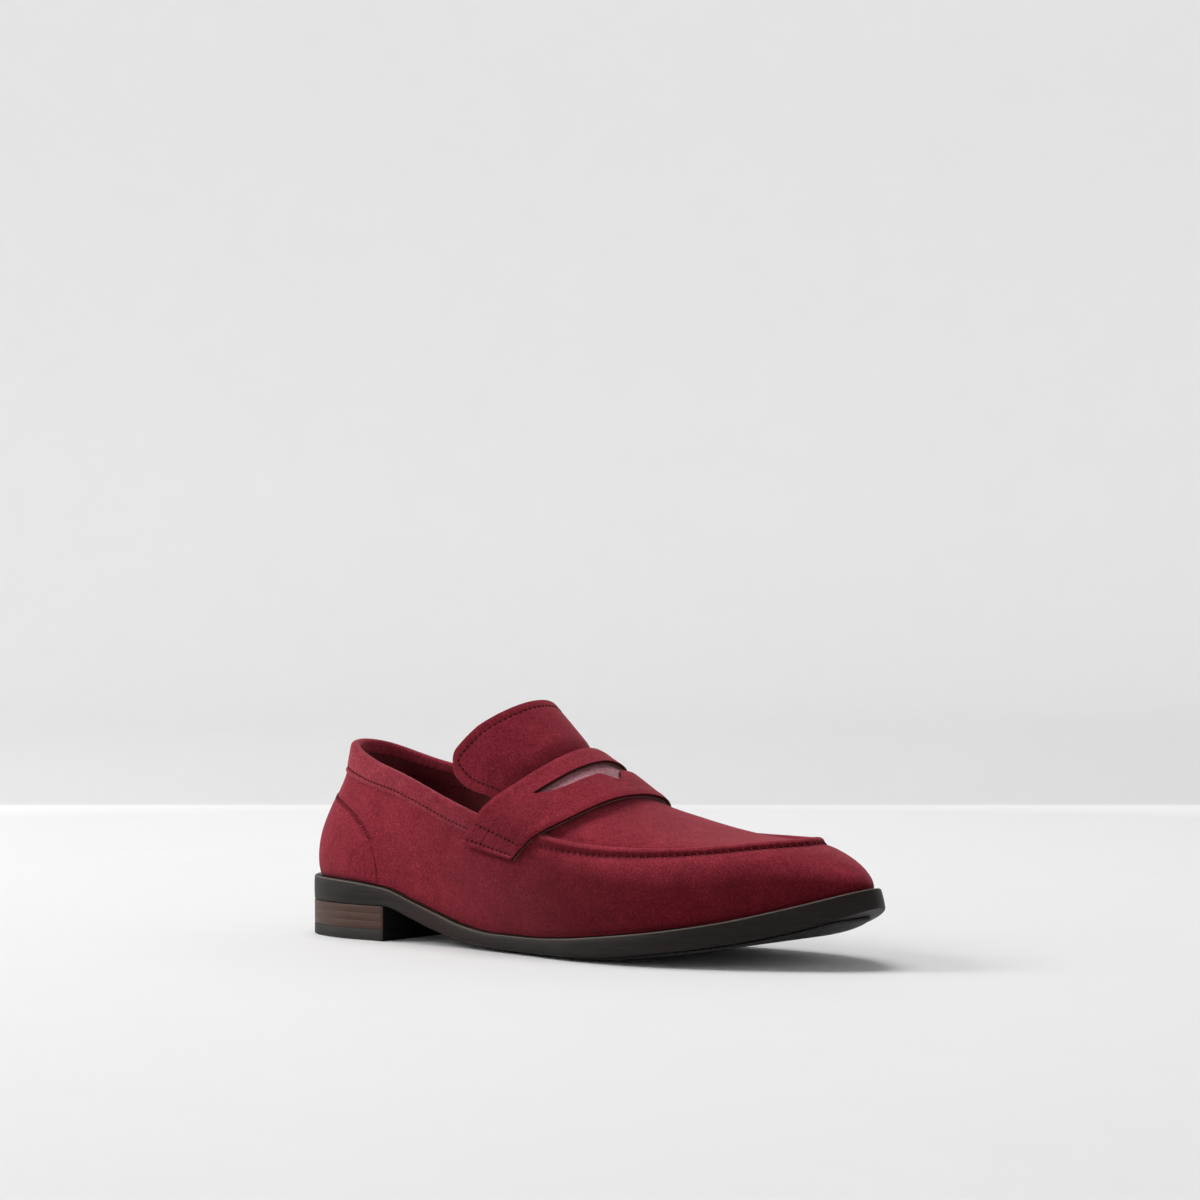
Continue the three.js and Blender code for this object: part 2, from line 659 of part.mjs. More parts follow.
add('upper_skirt', makeSkirt(), suede);
add('heel_counter_cover', makeCounterCover(), suede);
add('counter_stiffener', makeStiffener(0, 8 / 3, 0.7), stiffener);
add('toe_puff', makeStiffener(TOE, 1.5, 0.86), stiffener);
add('collar_foam', makeCollarFoam(), foam);
add('quarter_lining', makeQuarterLining(), liningLeather);
add('vamp_lining', makeVampLining(), liningLeather);
add('collar_band', sheet({
  columns: 26, rows: 9, outer: collarFace(0), inner: collarFace(COLLAR.thick),
}), suedeTrim);
add('apron', makeApron(), suede);
add('moc_seam_bead', makeBead(), suedeTrim);
add('saddle_strap', makeStrap(0, STRAP.suede), suede);
add('strap_backing', makeStrap(STRAP.suede + GAP, STRAP.suede + GAP + STRAP.backing), stackedLeather);
add('penny_slot_underlay', makeUnderlay(), pinkLeather);
add('tongue', skin(tongueSurface, 0, SUEDE, { columns: 9, rows: 14 }), suede);
const tongueDepth = SUEDE + GAP;
const tongueLining = skin(tongueSurface, tongueDepth, tongueDepth + LINING, { columns: 9, rows: 14 });
add('tongue_lining', tongueLining, liningLeather);

// Threads lie just above the pieces that they sew.
const proud = THREAD + GAP;

function addThread(name, points, steps) {
  add(name, thread(points, THREAD, steps, 4), cottonThread);
}

const collarLine = (f) => {
  const u = (COLLAR.end - 0.15) * (2 * f - 1);
  return collarPoint(u, COLLAR.deep - 1.5, COLLAR.outside + proud);
};
const counterLine = (f) => counterSurface(0.05 + 0.9 * f, 0.96, COUNTER.gap + COUNTER.thick + proud);
const strapLine = (t) => (f) => strapAt(t, 0.07 + 0.86 * f, proud);
const tongueLine = (f) => {
  const s = f < 0.25 || f > 0.75 ? 0.3 + 2.6 * Math.min(f, 1 - f) : 0.95;
  const side = THREE.MathUtils.clamp((f - 0.5) * 4, -1, 1) * 0.9;
  return tongueSurface(s, 0.5 + side / 2, proud);
};
addThread('collar_stitching', pointRow(30, collarLine), 34);
addThread('counter_stitching', pointRow(24, counterLine), 26);
addThread('strap_stitching_outer', pointRow(4, strapLine(-0.87)), 6);
addThread('strap_stitching_inner', pointRow(4, strapLine(0.87)), 6);
addThread('tongue_stitching', pointRow(32, tongueLine), 34);

const box = new THREE.Box3().setFromObject(loafer);
const middle = box.getCenter(new THREE.Vector3());
loafer.position.set(-middle.x, -middle.y, -box.min.z);

export default loafer;
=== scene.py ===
import json
import math

import bmesh
import bpy
import numpy as np
from mathutils import Matrix, Vector


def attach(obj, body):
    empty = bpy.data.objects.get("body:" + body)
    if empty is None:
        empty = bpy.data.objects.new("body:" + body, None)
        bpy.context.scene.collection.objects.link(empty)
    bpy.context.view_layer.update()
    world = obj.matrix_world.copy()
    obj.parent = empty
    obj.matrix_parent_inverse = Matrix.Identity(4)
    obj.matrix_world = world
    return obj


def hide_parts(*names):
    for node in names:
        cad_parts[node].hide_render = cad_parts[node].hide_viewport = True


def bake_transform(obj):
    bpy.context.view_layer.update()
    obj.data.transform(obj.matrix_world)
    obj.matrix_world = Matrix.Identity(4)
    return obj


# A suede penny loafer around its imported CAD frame. Shapes are worked out in millimetres from
# the back of the heel and the ground, as the CAD part draws them, and placed in metres.
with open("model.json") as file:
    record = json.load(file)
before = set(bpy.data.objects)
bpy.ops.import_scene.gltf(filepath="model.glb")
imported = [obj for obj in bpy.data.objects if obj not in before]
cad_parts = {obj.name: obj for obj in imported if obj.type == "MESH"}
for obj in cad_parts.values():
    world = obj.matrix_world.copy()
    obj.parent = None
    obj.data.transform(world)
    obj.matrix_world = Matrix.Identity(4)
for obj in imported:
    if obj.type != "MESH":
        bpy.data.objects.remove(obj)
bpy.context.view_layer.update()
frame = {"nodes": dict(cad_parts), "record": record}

# ---------------------------------------------------------------- driving dimensions

MM = 0.001
GROUND_FACE = np.array([30.0, 0.0, 0.0])

# Stations round the shoe: sole edge x, y; upper edge x, y, z; belly of the wall; how upright the
# wall meets that edge; how far it swells there.
STATIONS = np.array([
    [0, 0, 17.8, 0, 85.6, 4.5, 1.6, 1.5],
    [8.5, -23.5, 23.5, -14.5, 84.4, 4, 1.5, 1.5],
    [32, -34, 42, -23, 78.4, 2.5, 1.2, 1.5],
    [62, -34.5, 68, -29.6, 72.5, 2, 1, 2],
    [100, -36, 100, -34.8, 62.4, 3, 1, 3],
    [140, -43, 135, -40, 53.5, 4, 0.9, 5],
    [180, -51, 168, -43, 47, 4, 0.8, 7],
    [215, -50, 201, -40, 45.5, 3.5, 0.6, 9],
    [248, -38.5, 230, -31, 47, 3.5, 0.35, 9],
    [275.5, -22, 252, -19, 49.5, 2.5, 0.18, 9],
    [293, -5, 263, -4, 50.4, 1.2, 0.15, 8],
    [294.5, 9, 263.5, 8, 50.6, 1.2, 0.15, 8],
    [280, 26.5, 255, 20.5, 49.4, 2.5, 0.18, 9],
    [255, 41, 233, 32, 48.5, 3.5, 0.35, 9],
    [223, 47, 205, 38, 48.2, 3.5, 0.6, 9],
    [185, 45.5, 172, 39, 50, 4, 0.8, 7],
    [145, 36.5, 138, 37, 55.5, 4, 0.9, 5],
    [104, 30.5, 102, 32.8, 62.8, 3, 1, 3],
    [66, 31, 70, 29.6, 70.6, 2, 1, 2],
    [33, 32.5, 43, 24, 76.6, 2.5, 1.2, 1.5],
    [8.5, 23, 23.5, 15, 83, 4, 1.5, 1.5],
])
ROUND = len(STATIONS)
TOE = 10.5
SOLE_TOP = [(0, 26.6), (30, 26.2), (59, 23.6), (75, 18.8), (90, 14.2), (107, 9.8), (126, 7.9),
            (148, 8), (170, 9.2), (195, 11.8), (220, 15), (245, 19.4), (268, 25.2), (297, 34.2)]
SOLE_UNDER = [(0, 15.4), (59, 15.4), (75, 11), (90, 6.4), (107, 2.9), (126, 1.6), (148, 1.5),
              (170, 1.7), (195, 3), (220, 5.9), (245, 9.8), (268, 15.4), (297, 26)]
RIDGE = [(135, 88), (150, 80.5), (165, 72), (179, 65), (195, 59.6), (210, 55.6), (230, 52.2),
         (250, 51.2), (266, 51.2)]

GAP = 0.3
SUEDE = 1.2
LINING = 0.8
LEDGE = 3.2
BREAST = 59.0
TOE_LEAN = 7.5
TOP_PIECE = 5.2
LIFTS = 3
TREAD = dict(start=106, end=281, inset=6, thick=1.2)
COUNTER = dict(reach=2.72, foot=0.01, top=0.61, power=2.7)
COLLAR = dict(end=13 / 3, deep=11, outside=1.0, inside=-4.3)
STRAP = dict(rear=4.3, front=5.2, end_height=0.68, rear_proud=3.8, front_proud=2.6, crown=3.2,
             suede=1.4, backing=0.6)
SLOT = dict(middle=-0.05, half=0.46, rear=0.31, front=0.52, notch=0.17, notch_half=0.11)
TONGUE = dict(x=150, y=-1.2, z=81.6, half=31, drop=34, slope=42.5, length=38.5, tuck=10, sink=3.2)
APRON = dict(start=5.2, bow=24, straight=0.38)
BEAD_FROM = 5.42
UP = np.array([0.0, 0.0, 1.0])

record = frame["record"]
mount = next(m for m in record["mounts"] if m["name"] == "ground_face")
ORIGIN = np.array(mount["pos_m"]) / MM - GROUND_FACE

# ---------------------------------------------------------------- curves and surfaces


def smooth(low, high, x):
    f = np.clip((x - low) / (high - low), 0, 1)
    return f * f * (3 - 2 * f)


def station_curve(columns):
    points = STATIONS[:, columns]

    def at(u):
        u = np.mod(u, ROUND)
        i = np.floor(u).astype(int)
        f = (u - i)[..., None]
        p0, p1, p2, p3 = (points[(i + k) % ROUND] for k in (-1, 0, 1, 2))
        t1, t2 = (p2 - p0) / 2, (p3 - p1) / 2
        bend = (2 * p1 - 2 * p2 + t1 + t2) * f**3 + (-3 * p1 + 3 * p2 - 2 * t1 - t2) * f**2
        return bend + t1 * f + p1

    return at


sole_curve = station_curve([0, 1])
edge_curve = station_curve([2, 3, 4])
form_curve = station_curve([5, 6, 7])


def height_along(points):
    """A smooth height through (x, z) points that never overshoots them."""
    xs, zs = np.array(points, float).T
    rise = np.diff(zs) / np.diff(xs)
    slopes = np.empty(len(xs))
    slopes[0], slopes[-1] = rise[0], rise[-1]
    a, b = rise[:-1], rise[1:]
    slopes[1:-1] = np.where(a * b <= 0, 0, 2 * a * b / np.where(a + b == 0, 1, a + b))

    def at(x):
        x = np.clip(x, xs[0], xs[-1])
        i = np.clip(np.searchsorted(xs, x, side="right") - 1, 0, len(xs) - 2)
        span = xs[i + 1] - xs[i]
        f = (x - xs[i]) / span
        g = f * f * (3 - 2 * f)
        bend = span * (slopes[i] * f * (1 - f) ** 2 - slopes[i + 1] * f * f * (1 - f))
        return zs[i] * (1 - g) + zs[i + 1] * g + bend

    return at


sole_top = height_along(SOLE_TOP)
sole_under = height_along(SOLE_UNDER)
ridge = height_along(RIDGE)


def unit(v):
    return v / np.maximum(np.linalg.norm(v, axis=-1, keepdims=True), 1e-12)


def outward(u):
    run = sole_curve(u + 0.01) - sole_curve(u - 0.01)
    return unit(np.stack([run[..., 1], -run[..., 0], 0 * run[..., 0]], -1))


def sole_edge(u, inset=0.0):
    point = sole_curve(u)
    flat = np.concatenate([point, np.zeros_like(point[..., :1])], -1)
    return flat - outward(u) * inset


def wall_point(u, h):
    """The outside of the upper's wall: h is 0 at the sole and 1 at the topline or apron seam."""
    u, h = np.broadcast_arrays(np.asarray(u, float), np.asarray(h, float))
    foot = sole_edge(u, LEDGE)
    foot[..., 2] = sole_top(foot[..., 0]) + GAP
    edge = edge_curve(u)
    form = form_curve(u)
    out = outward(u)
    tall = (edge[..., 2] - foot[..., 2])[..., None]
    low = foot + UP * 0.4 * tall + out * 1.25 * form[..., :1]
    high = edge - UP * 0.25 * form[..., 1:2] * tall + out * form[..., 2:]
    f = h[..., None]
    g = 1 - f
    return g**3 * foot + 3 * g * g * f * low + 3 * g * f * f * high + f**3 * edge


def normal_of(surface, a, b, flip=1.0, step=0.004):
    along = surface(a + step, b) - surface(a - step, b)
    across = surface(a, b + step) - surface(a, b - step)
    return flip * unit(np.cross(along, across))


def wall_at(u, h, offset=0.0):
    u, h = np.broadcast_arrays(np.asarray(u, float), np.asarray(h, float))
    offset = np.asarray(offset, float)
    return wall_point(u, h) + normal_of(wall_point, u, h) * offset[..., None]


def collar_point(u, depth, offset):
    """A point a given depth below the topline, or above it where the depth is negative."""
    tall = edge_curve(u)[..., 2] - sole_top(sole_curve(u)[..., 0])
    return wall_at(u, 1 - depth / tall, offset)


def centripetal(points):
    """The open centripetal Catmull-Rom curve that the CAD part's strap edges follow."""
    points = np.array(points, float)
    last = len(points) - 1
    ends = [2 * points[0] - points[1], 2 * points[-1] - points[-2]]
    padded = np.vstack([ends[0], points, ends[1]])

    def at(t):
        p = np.clip(t, 0, 1) * last
        i = np.minimum(np.floor(p).astype(int), last - 1)
        f = (p - i)[..., None]
        p0, p1, p2, p3 = (padded[i + k] for k in range(4))
        d0, d1, d2 = (np.linalg.norm(q - r, axis=-1, keepdims=True) ** 0.5
                      for q, r in ((p1, p0), (p2, p1), (p3, p2)))
        t1 = ((p1 - p0) / d0 - (p2 - p0) / (d0 + d1) + (p2 - p1) / d1) * d1
        t2 = ((p2 - p1) / d1 - (p3 - p1) / (d1 + d2) + (p3 - p2) / d2) * d1
        bend = (2 * p1 - 2 * p2 + t1 + t2) * f**3 + (-3 * p1 + 3 * p2 - 2 * t1 - t2) * f**2
        return bend + t1 * f + p1

    return at


def strap_end(u, proud):
    return wall_at(u, STRAP["end_height"], proud)


rear_edge = centripetal([
    strap_end(STRAP["rear"], STRAP["rear_proud"]),
    (122.7, -41.4, 62.9), (134.5, -31.5, 74), (143.5, -15.5, 83.5), (146.5, 0, 87.2),
    (144, 15.5, 84.5), (136, 29.5, 77), (125, 39.4, 65),
    strap_end(ROUND - STRAP["rear"], STRAP["rear_proud"]),
])
front_edge = centripetal([
    strap_end(STRAP["front"], STRAP["front_proud"]),
    (152.5, -45.2, 51), (164.5, -37, 59), (175, -20.5, 66.8), (178.7, -2, 68.6),
    (177.5, 16, 65.8), (170.5, 30, 60.5), (159, 43.6, 52.5),
    strap_end(ROUND - STRAP["front"], STRAP["front_proud"]),
])


def strap_point(t, w):
    """t runs along the strap from -1 to 1, w across it from 0 at the rear to 1 at the front."""
    t, w = np.broadcast_arrays(np.asarray(t, float), np.asarray(w, float))
    at = (t + 1) / 2
    point = rear_edge(at) * (1 - w)[..., None] + front_edge(at) * w[..., None]
    point[..., 2] += STRAP["crown"] * w * (1 - w) * (1 - t * t)
    return point


def strap_at(t, w, offset=0.0):
    t, w = np.broadcast_arrays(np.asarray(t, float), np.asarray(w, float))
    offset = np.asarray(offset, float)
    return strap_point(t, w) + normal_of(strap_point, t, w, -1.0) * offset[..., None]


def slot_edge(t, front):
    """Where the penny slot's rear or front edge lies across the strap."""
    side = (t - SLOT["middle"]) / SLOT["half"]
    opening = np.maximum(0, 1 - side**6)
    line, half = SLOT["rear"] + 0.02, 0.004
    if not front:
        rear_opening = np.minimum(opening, 1 - side * side)
        return line - half - (line - half - SLOT["rear"]) * rear_opening
    near = np.clip((t - SLOT["middle"]) / SLOT["notch_half"], -1, 1)
    notch = 0.5 + 0.5 * np.cos(math.pi * near)
    return line + half + (SLOT["front"] - line) * opening + SLOT["notch"] * notch


SLOPE = math.radians(TONGUE["slope"])
ALONG = np.array([-math.cos(SLOPE), 0, math.sin(SLOPE)])
ABOVE = np.array([ALONG[2], 0, -ALONG[0]])


def tongue_point(s, turn):
    s, turn = np.broadcast_arrays(np.asarray(s, float), np.asarray(turn, float))
    sink = TONGUE["sink"] * (1 - smooth(2, 16, s))
    point = np.stack([TONGUE["x"] + 0 * s, TONGUE["y"] + TONGUE["half"] * np.sin(turn),
                      TONGUE["z"] + 0 * s], -1)
    lift = TONGUE["drop"] * (np.cos(turn) - 1) - sink
    return point + ALONG * s[..., None] + ABOVE * lift[..., None]


def tongue_at(a, b, offset=0.0):
    """a runs up the tongue to its edge, b across it from 0 to 1."""
    a, b = np.broadcast_arrays(np.asarray(a, float), np.asarray(b, float))
    side = 2 * b - 1
    rise = 2.5 * np.minimum(1, np.abs(side) / 0.6) ** 2
    cut = 7 * (np.maximum(0, np.abs(side) - 0.84) / 0.16) ** 2
    s = -TONGUE["tuck"] + (TONGUE["length"] + rise - cut + TONGUE["tuck"]) * a
    reach = 1.36 + 0.38 * smooth(0, 30, s)
    offset = np.asarray(offset, float)
    normal = normal_of(tongue_point, s, reach * side, -1.0)
    return tongue_point(s, reach * side) + normal * offset[..., None]


def ripple(points, size, seed):
    """A smooth, fixed unevenness between -1 and 1 for points in millimetres."""
    rng = np.random.RandomState(seed)
    total = np.zeros(points.shape[:-1])
    for _ in range(7):
        direction = unit(rng.normal(size=3)) * rng.uniform(0.6, 1.5) * 2 * math.pi / size
        total += np.sin(points @ direction + rng.uniform(0, 2 * math.pi))
    return total / 7


# ---------------------------------------------------------------- meshes


def make_object(name, points, faces, materials, face_materials=None):
    mesh = bpy.data.meshes.new(name)
    placed = (np.asarray(points) + ORIGIN) * MM
    mesh.from_pydata(placed.tolist(), [], [list(map(int, f)) for f in faces])
    for m in materials:
        mesh.materials.append(m)
    if face_materials is not None:
        mesh.polygons.foreach_set("material_index", np.asarray(face_materials, np.int32))
    mesh.polygons.foreach_set("use_smooth", np.ones(len(mesh.polygons), bool))
    mesh.update()
    obj = bpy.data.objects.new(name, mesh)
    bpy.context.scene.collection.objects.link(obj)
    return obj


def weld(points, faces, near=0.004):
    """Joins corners that lie together. Gives the corners, the faces left, and which they were."""
    _, first, same = np.unique(np.round(points / near).astype(int), axis=0,
                               return_index=True, return_inverse=True)
    same = same.ravel()
    kept, which = [], []
    for number, face in enumerate(faces):
        ring = [same[i] for i in face]
        ring = [v for k, v in enumerate(ring) if v != ring[k - 1]]
        if len(ring) > 2 and len(set(ring)) == len(ring):
            kept.append(ring)
            which.append(number)
    return points[first], kept, np.array(which)


def outwards(points, faces):
    """The faces, turned so that the closed body has a positive volume."""
    corners = np.array([list(f) + [f[-1]] * (4 - len(f)) for f in faces])
    a, b, c, d = (points[corners[:, k]] for k in range(4))
    volume = np.sum(a * (np.cross(b, c) + np.cross(c, d)))
    return faces if volume > 0 else [f[::-1] for f in faces]


def grid_faces(columns, rows, base=0, closed=False):
    """Quads of a grid of columns x rows corners; closed joins the last column to the first."""
    i = np.arange(columns if closed else columns - 1)[:, None]
    j = np.arange(rows - 1)[None, :]
    nxt = (i + 1) % columns
    quads = np.stack(np.broadcast_arrays(i * rows + j, nxt * rows + j, nxt * rows + j + 1,
                                         i * rows + j + 1), -1)
    return (quads.reshape(-1, 4) + base).tolist()


def closed_sheet(outer, inner, closed=False, keep=None, joined_start=False):
    """A closed body between two grids of points. keep says which cells exist, and joined_start
    that the first row closes on itself. The third result is 0 for a face of the outer grid, 1
    for one of the inner grid and 2 for one of its edge."""
    columns, rows = outer.shape[:2]
    cells = columns if closed else columns - 1
    exists = np.ones((cells, rows - 1), bool) if keep is None else keep
    layer = columns * rows
    points = np.concatenate([outer.reshape(-1, 3), inner.reshape(-1, 3)])
    around = np.pad(exists, ((1, 1), (1, 1)))
    if closed:
        around[0, 1:-1], around[-1, 1:-1] = exists[-1], exists[0]
    if joined_start:
        around[:, 0] = True

    def at(i, j, side):
        return (i % columns) * rows + j + side * layer

    i, j = np.nonzero(exists)
    quads = [np.stack([at(i, j, 0), at(i + 1, j, 0), at(i + 1, j + 1, 0), at(i, j + 1, 0)], -1),
             np.stack([at(i, j, 1), at(i, j + 1, 1), at(i + 1, j + 1, 1), at(i + 1, j, 1)], -1)]
    for step, (p, q), (v, w) in (((0, -1), (0, 0), (1, 0)), ((0, 1), (1, 1), (0, 1)),
                                 ((-1, 0), (0, 1), (0, 0)), ((1, 0), (1, 0), (1, 1))):
        open_side = ~around[1 + step[0]:1 + step[0] + cells, 1 + step[1]:rows + step[1]]
        i, j = np.nonzero(exists & open_side)
        quads.append(np.stack([at(i + p, j + q, 0), at(i + p, j + q, 1), at(i + v, j + w, 1),
                               at(i + v, j + w, 0)], -1))
    kinds = np.repeat([0, 1, 2, 2, 2, 2], [len(q) for q in quads])
    points, faces, which = weld(points, np.concatenate(quads).tolist())
    return points, outwards(points, faces), kinds[which]


def bevel(obj, width, segments=3, angle=50, material=-1):
    mod = obj.modifiers.new("edges", "BEVEL")
    mod.material = material
    mod.width = width * MM
    mod.segments = segments
    mod.limit_method = "ANGLE"
    mod.angle_limit = math.radians(angle)
    mod.profile = 0.6
    mod.use_clamp_overlap = True
    return obj


def edge_spaced(count, first):
    """Fractions from 0 to 1 that are closer together near both ends."""
    f = np.linspace(0, 1, count)
    g = f * f * (3 - 2 * f)
    return first * g + (1 - first) * f


def sheet_piece(name, surface, depths, columns, rows, materials, closed=False, wear=None):
    """A closed sheet that follows surface(a, b, offset) between two depths below it."""
    a, b = np.meshgrid(columns, rows, indexing="ij")
    extra = 0 if wear is None else wear(a, b)
    outer = surface(a, b, -depths[0] + extra)
    inner = surface(a, b, -depths[1] + 0 * a)
    points, faces, kinds = closed_sheet(outer, inner, closed)
    return make_object(name, points, faces, materials, np.minimum(kinds, len(materials) - 1))


def capsules(name, segments, radius, material, sides=8, rings=3):
    """Short rounded stitches from start to end, bulging a little in the middle."""
    points, faces = [], []
    for start, end, lift in segments:
        start, end, lift = (np.asarray(v, float) for v in (start, end, lift))
        axis = unit(end - start)
        across = unit(np.cross(axis, lift))
        up = unit(lift - axis * np.dot(lift, axis))
        length = np.linalg.norm(end - start)
        base = len(points)
        stops = []
        for k in range(rings + 1):
            turn = 0.5 * math.pi * k / rings
            stops.append((-radius * math.cos(turn), radius * math.sin(turn)))
        stops += [(length - z, r) for z, r in reversed(stops)]
        for z, r in stops:
            arch = math.sin(math.pi * np.clip(z / length, 0, 1))
            bulge = 0.35 * radius * arch - 0.45 * radius * (1 - arch)
            centre = start + axis * z + up * bulge
            for m in range(sides):
                turn = 2 * math.pi * m / sides
                points.append(centre + r * (across * math.cos(turn) + up * math.sin(turn)))
        count = len(stops)
        for k in range(count - 1):
            for m in range(sides):
                n = (m + 1) % sides
                faces.append([base + k * sides + m, base + k * sides + n,
                              base + (k + 1) * sides + n, base + (k + 1) * sides + m])
    points, faces, _ = weld(np.array(points), faces, 0.0005)
    return make_object(name, points, faces, [material])


def row_of_stitches(place, start, end, pitch, fill):
    """Segments along place(f) -> (point, normal), one for each pitch of its length. fill is the
    share of the pitch between a segment's ends."""
    f = np.linspace(start, end, 400)
    points = np.array([place(x)[0] for x in f])
    run = np.concatenate([[0], np.cumsum(np.linalg.norm(np.diff(points, axis=0), axis=1))])
    count = max(1, int(round(run[-1] / pitch)))
    segments = []
    for k in range(count):
        stops = [(k + 0.5 + side * fill / 2) * run[-1] / count for side in (-1, 1)]
        ends = np.interp(stops, run, f)
        (p, n), (q, _) = place(ends[0]), place(ends[1])
        segments.append((p, q, n))
    return segments


# ---------------------------------------------------------------- materials


def srgb(r, g, b):
    """Linear colour of an sRGB colour given as 0 to 255."""
    return tuple(c / 12.92 if c <= 0.04045 else ((c + 0.055) / 1.055) ** 2.4
                 for c in (r / 255, g / 255, b / 255)) + (1,)


def grey(value):
    return (value, value, value, 1)


class Paint:
    """A small helper that builds one node material."""

    def __init__(self, name, roughness=0.5, **sockets):
        self.material = bpy.data.materials.new(name)
        self.material.use_nodes = True
        self.tree = self.material.node_tree
        self.shader = self.tree.nodes["Principled BSDF"]
        self.set("Roughness", roughness)
        for key, value in sockets.items():
            self.set(key.replace("_", " "), value)
        self.place = self.tree.nodes.new("ShaderNodeTexCoord").outputs["Object"]
        self.height = None

    def set(self, socket, value):
        self.shader.inputs[socket].default_value = value

    def node(self, kind, **values):
        made = self.tree.nodes.new(kind)
        for key, value in values.items():
            if hasattr(made, key):
                setattr(made, key, value)
            else:
                made.inputs[key.replace("_", " ")].default_value = value
        return made

    def link(self, start, end):
        self.tree.links.new(start, end)

    def stretched(self, scale):
        mapping = self.node("ShaderNodeMapping")
        mapping.inputs["Scale"].default_value = scale
        self.link(self.place, mapping.inputs["Vector"])
        return mapping.outputs["Vector"]

    def noise(self, size, detail=3.0, roughness=0.55, stretch=None, distortion=0.0):
        """A noise whose lumps are about size millimetres wide."""
        made = self.node("ShaderNodeTexNoise", Scale=1 / (size * MM), Detail=detail,
                         Roughness=roughness, Distortion=distortion)
        self.link(self.stretched(stretch) if stretch else self.place, made.inputs["Vector"])
        return made.outputs["Fac"]

    def ramp(self, value, stops):
        made = self.node("ShaderNodeValToRGB")
        self.link(value, made.inputs["Fac"])
        elements = made.color_ramp.elements
        elements[0].position, elements[0].color = stops[0]
        elements[1].position, elements[1].color = stops[-1]
        for position, color in stops[1:-1]:
            elements.new(position).color = color
        return made.outputs["Color"]

    def mix(self, amount, a, b, blend="MIX"):
        made = self.node("ShaderNodeMix", data_type="RGBA", blend_type=blend)
        for socket, value in zip((made.inputs[0], made.inputs[6], made.inputs[7]), (amount, a, b)):
            if isinstance(value, bpy.types.NodeSocket):
                self.link(value, socket)
            else:
                socket.default_value = value
        return made.outputs[2]

    def math(self, operation, a, b=0.5):
        made = self.node("ShaderNodeMath", operation=operation)
        for socket, value in zip(made.inputs, (a, b)):
            if isinstance(value, bpy.types.NodeSocket):
                self.link(value, socket)
            else:
                socket.default_value = value
        return made.outputs[0]

    def color(self, value):
        self.link(value, self.shader.inputs["Base Color"])

    def rough(self, value, low, high):
        made = self.node("ShaderNodeMapRange")
        made.inputs["To Min"].default_value = low
        made.inputs["To Max"].default_value = high
        self.link(value, made.inputs["Value"])
        self.link(made.outputs["Result"], self.shader.inputs["Roughness"])

    def bump(self, value, distance, strength=1.0):
        """Adds a bump whose full height is distance millimetres."""
        made = self.node("ShaderNodeBump", Strength=strength, Distance=distance * MM)
        self.link(value, made.inputs["Height"])
        if self.height is not None:
            self.link(self.height, made.inputs["Normal"])
        self.height = made.outputs["Normal"]
        self.link(self.height, self.shader.inputs["Normal"])


def along_shoe(x):
    """Where a length from the back of the heel lies on the shader's x axis, in metres."""
    return float((x + ORIGIN[0]) * MM)


# Painted shade on the suede begins SHADE_FROM millimetres from the heel and is full SHADE_OVER
# millimetres further forward.
SHADE_FROM, SHADE_OVER = 70.0, 95.0


def painted_side_shade(paint):
    """How strongly painted shade darkens the suede: 1 on the forefoot's side walls, 0 at the heel and
    on top.
    """
    facing = paint.node("ShaderNodeSeparateXYZ")
    paint.link(paint.node("ShaderNodeNewGeometry").outputs["Normal"], facing.inputs["Vector"])
    place = paint.node("ShaderNodeSeparateXYZ")
    paint.link(paint.place, place.inputs["Vector"])
    side = paint.ramp(facing.outputs["Z"], [(0.3, grey(1)), (0.72, grey(0))])
    forward = paint.math("SUBTRACT", place.outputs["X"], along_shoe(SHADE_FROM))
    forward = paint.math("DIVIDE", forward, SHADE_OVER * MM)
    forward = paint.ramp(forward, [(0.0, grey(0)), (1.0, grey(1))])
    return paint.mix(1.0, side, forward, "MULTIPLY")


def suede_material(name, dark, middle, light, sheen=0.3):
    """Suede: fine flecks over small clumps of nap over broad brushed areas. The flecks' pale greyish
    lift is partly painted sheen, and the forefoot's sideways-facing walls get painted shade.
    """
    paint = Paint(name, 0.95, Specular_IOR_Level=0.08, Sheen_Weight=sheen, Sheen_Roughness=0.4,
                  Sheen_Tint=srgb(255, 150, 158))
    nap = paint.noise(0.85, 5, 0.8)
    tufts = paint.noise(2.6, 5, 0.75, distortion=0.5)
    brushed = paint.noise(12, 4, 0.6, distortion=0.6)
    base = paint.ramp(brushed, [(0.25, dark), (0.5, middle), (0.78, light)])
    # Nap flecks: specks of the suede's own colour. Their pale greyish lift is partly painted sheen on
    # the fibres.
    flecks_and_sheen = paint.ramp(nap, [(0.3, (0.45, 0.24, 0.28, 1)), (0.5, grey(1)),
                              (0.68, (1.85, 2.6, 2.4, 1))])
    clumps = paint.ramp(tufts, [(0.3, (0.84, 0.81, 0.82, 1)), (0.5, grey(1)),
                                (0.7, grey(1.16))])
    base = paint.mix(0.85, base, clumps, "MULTIPLY")
    napped = paint.mix(0.85, base, flecks_and_sheen, "MULTIPLY")
    # Painted shade: the suede darkened where the forefoot's walls face sideways.
    painted_shade_colour = paint.mix(1.0, napped, (0.42, 0.27, 0.31, 1), "MULTIPLY")
    paint.color(paint.mix(painted_side_shade(paint), napped, painted_shade_colour))
    paint.bump(tufts, 0.22, 0.6)
    paint.bump(nap, 0.25, 0.9)
    return paint.material


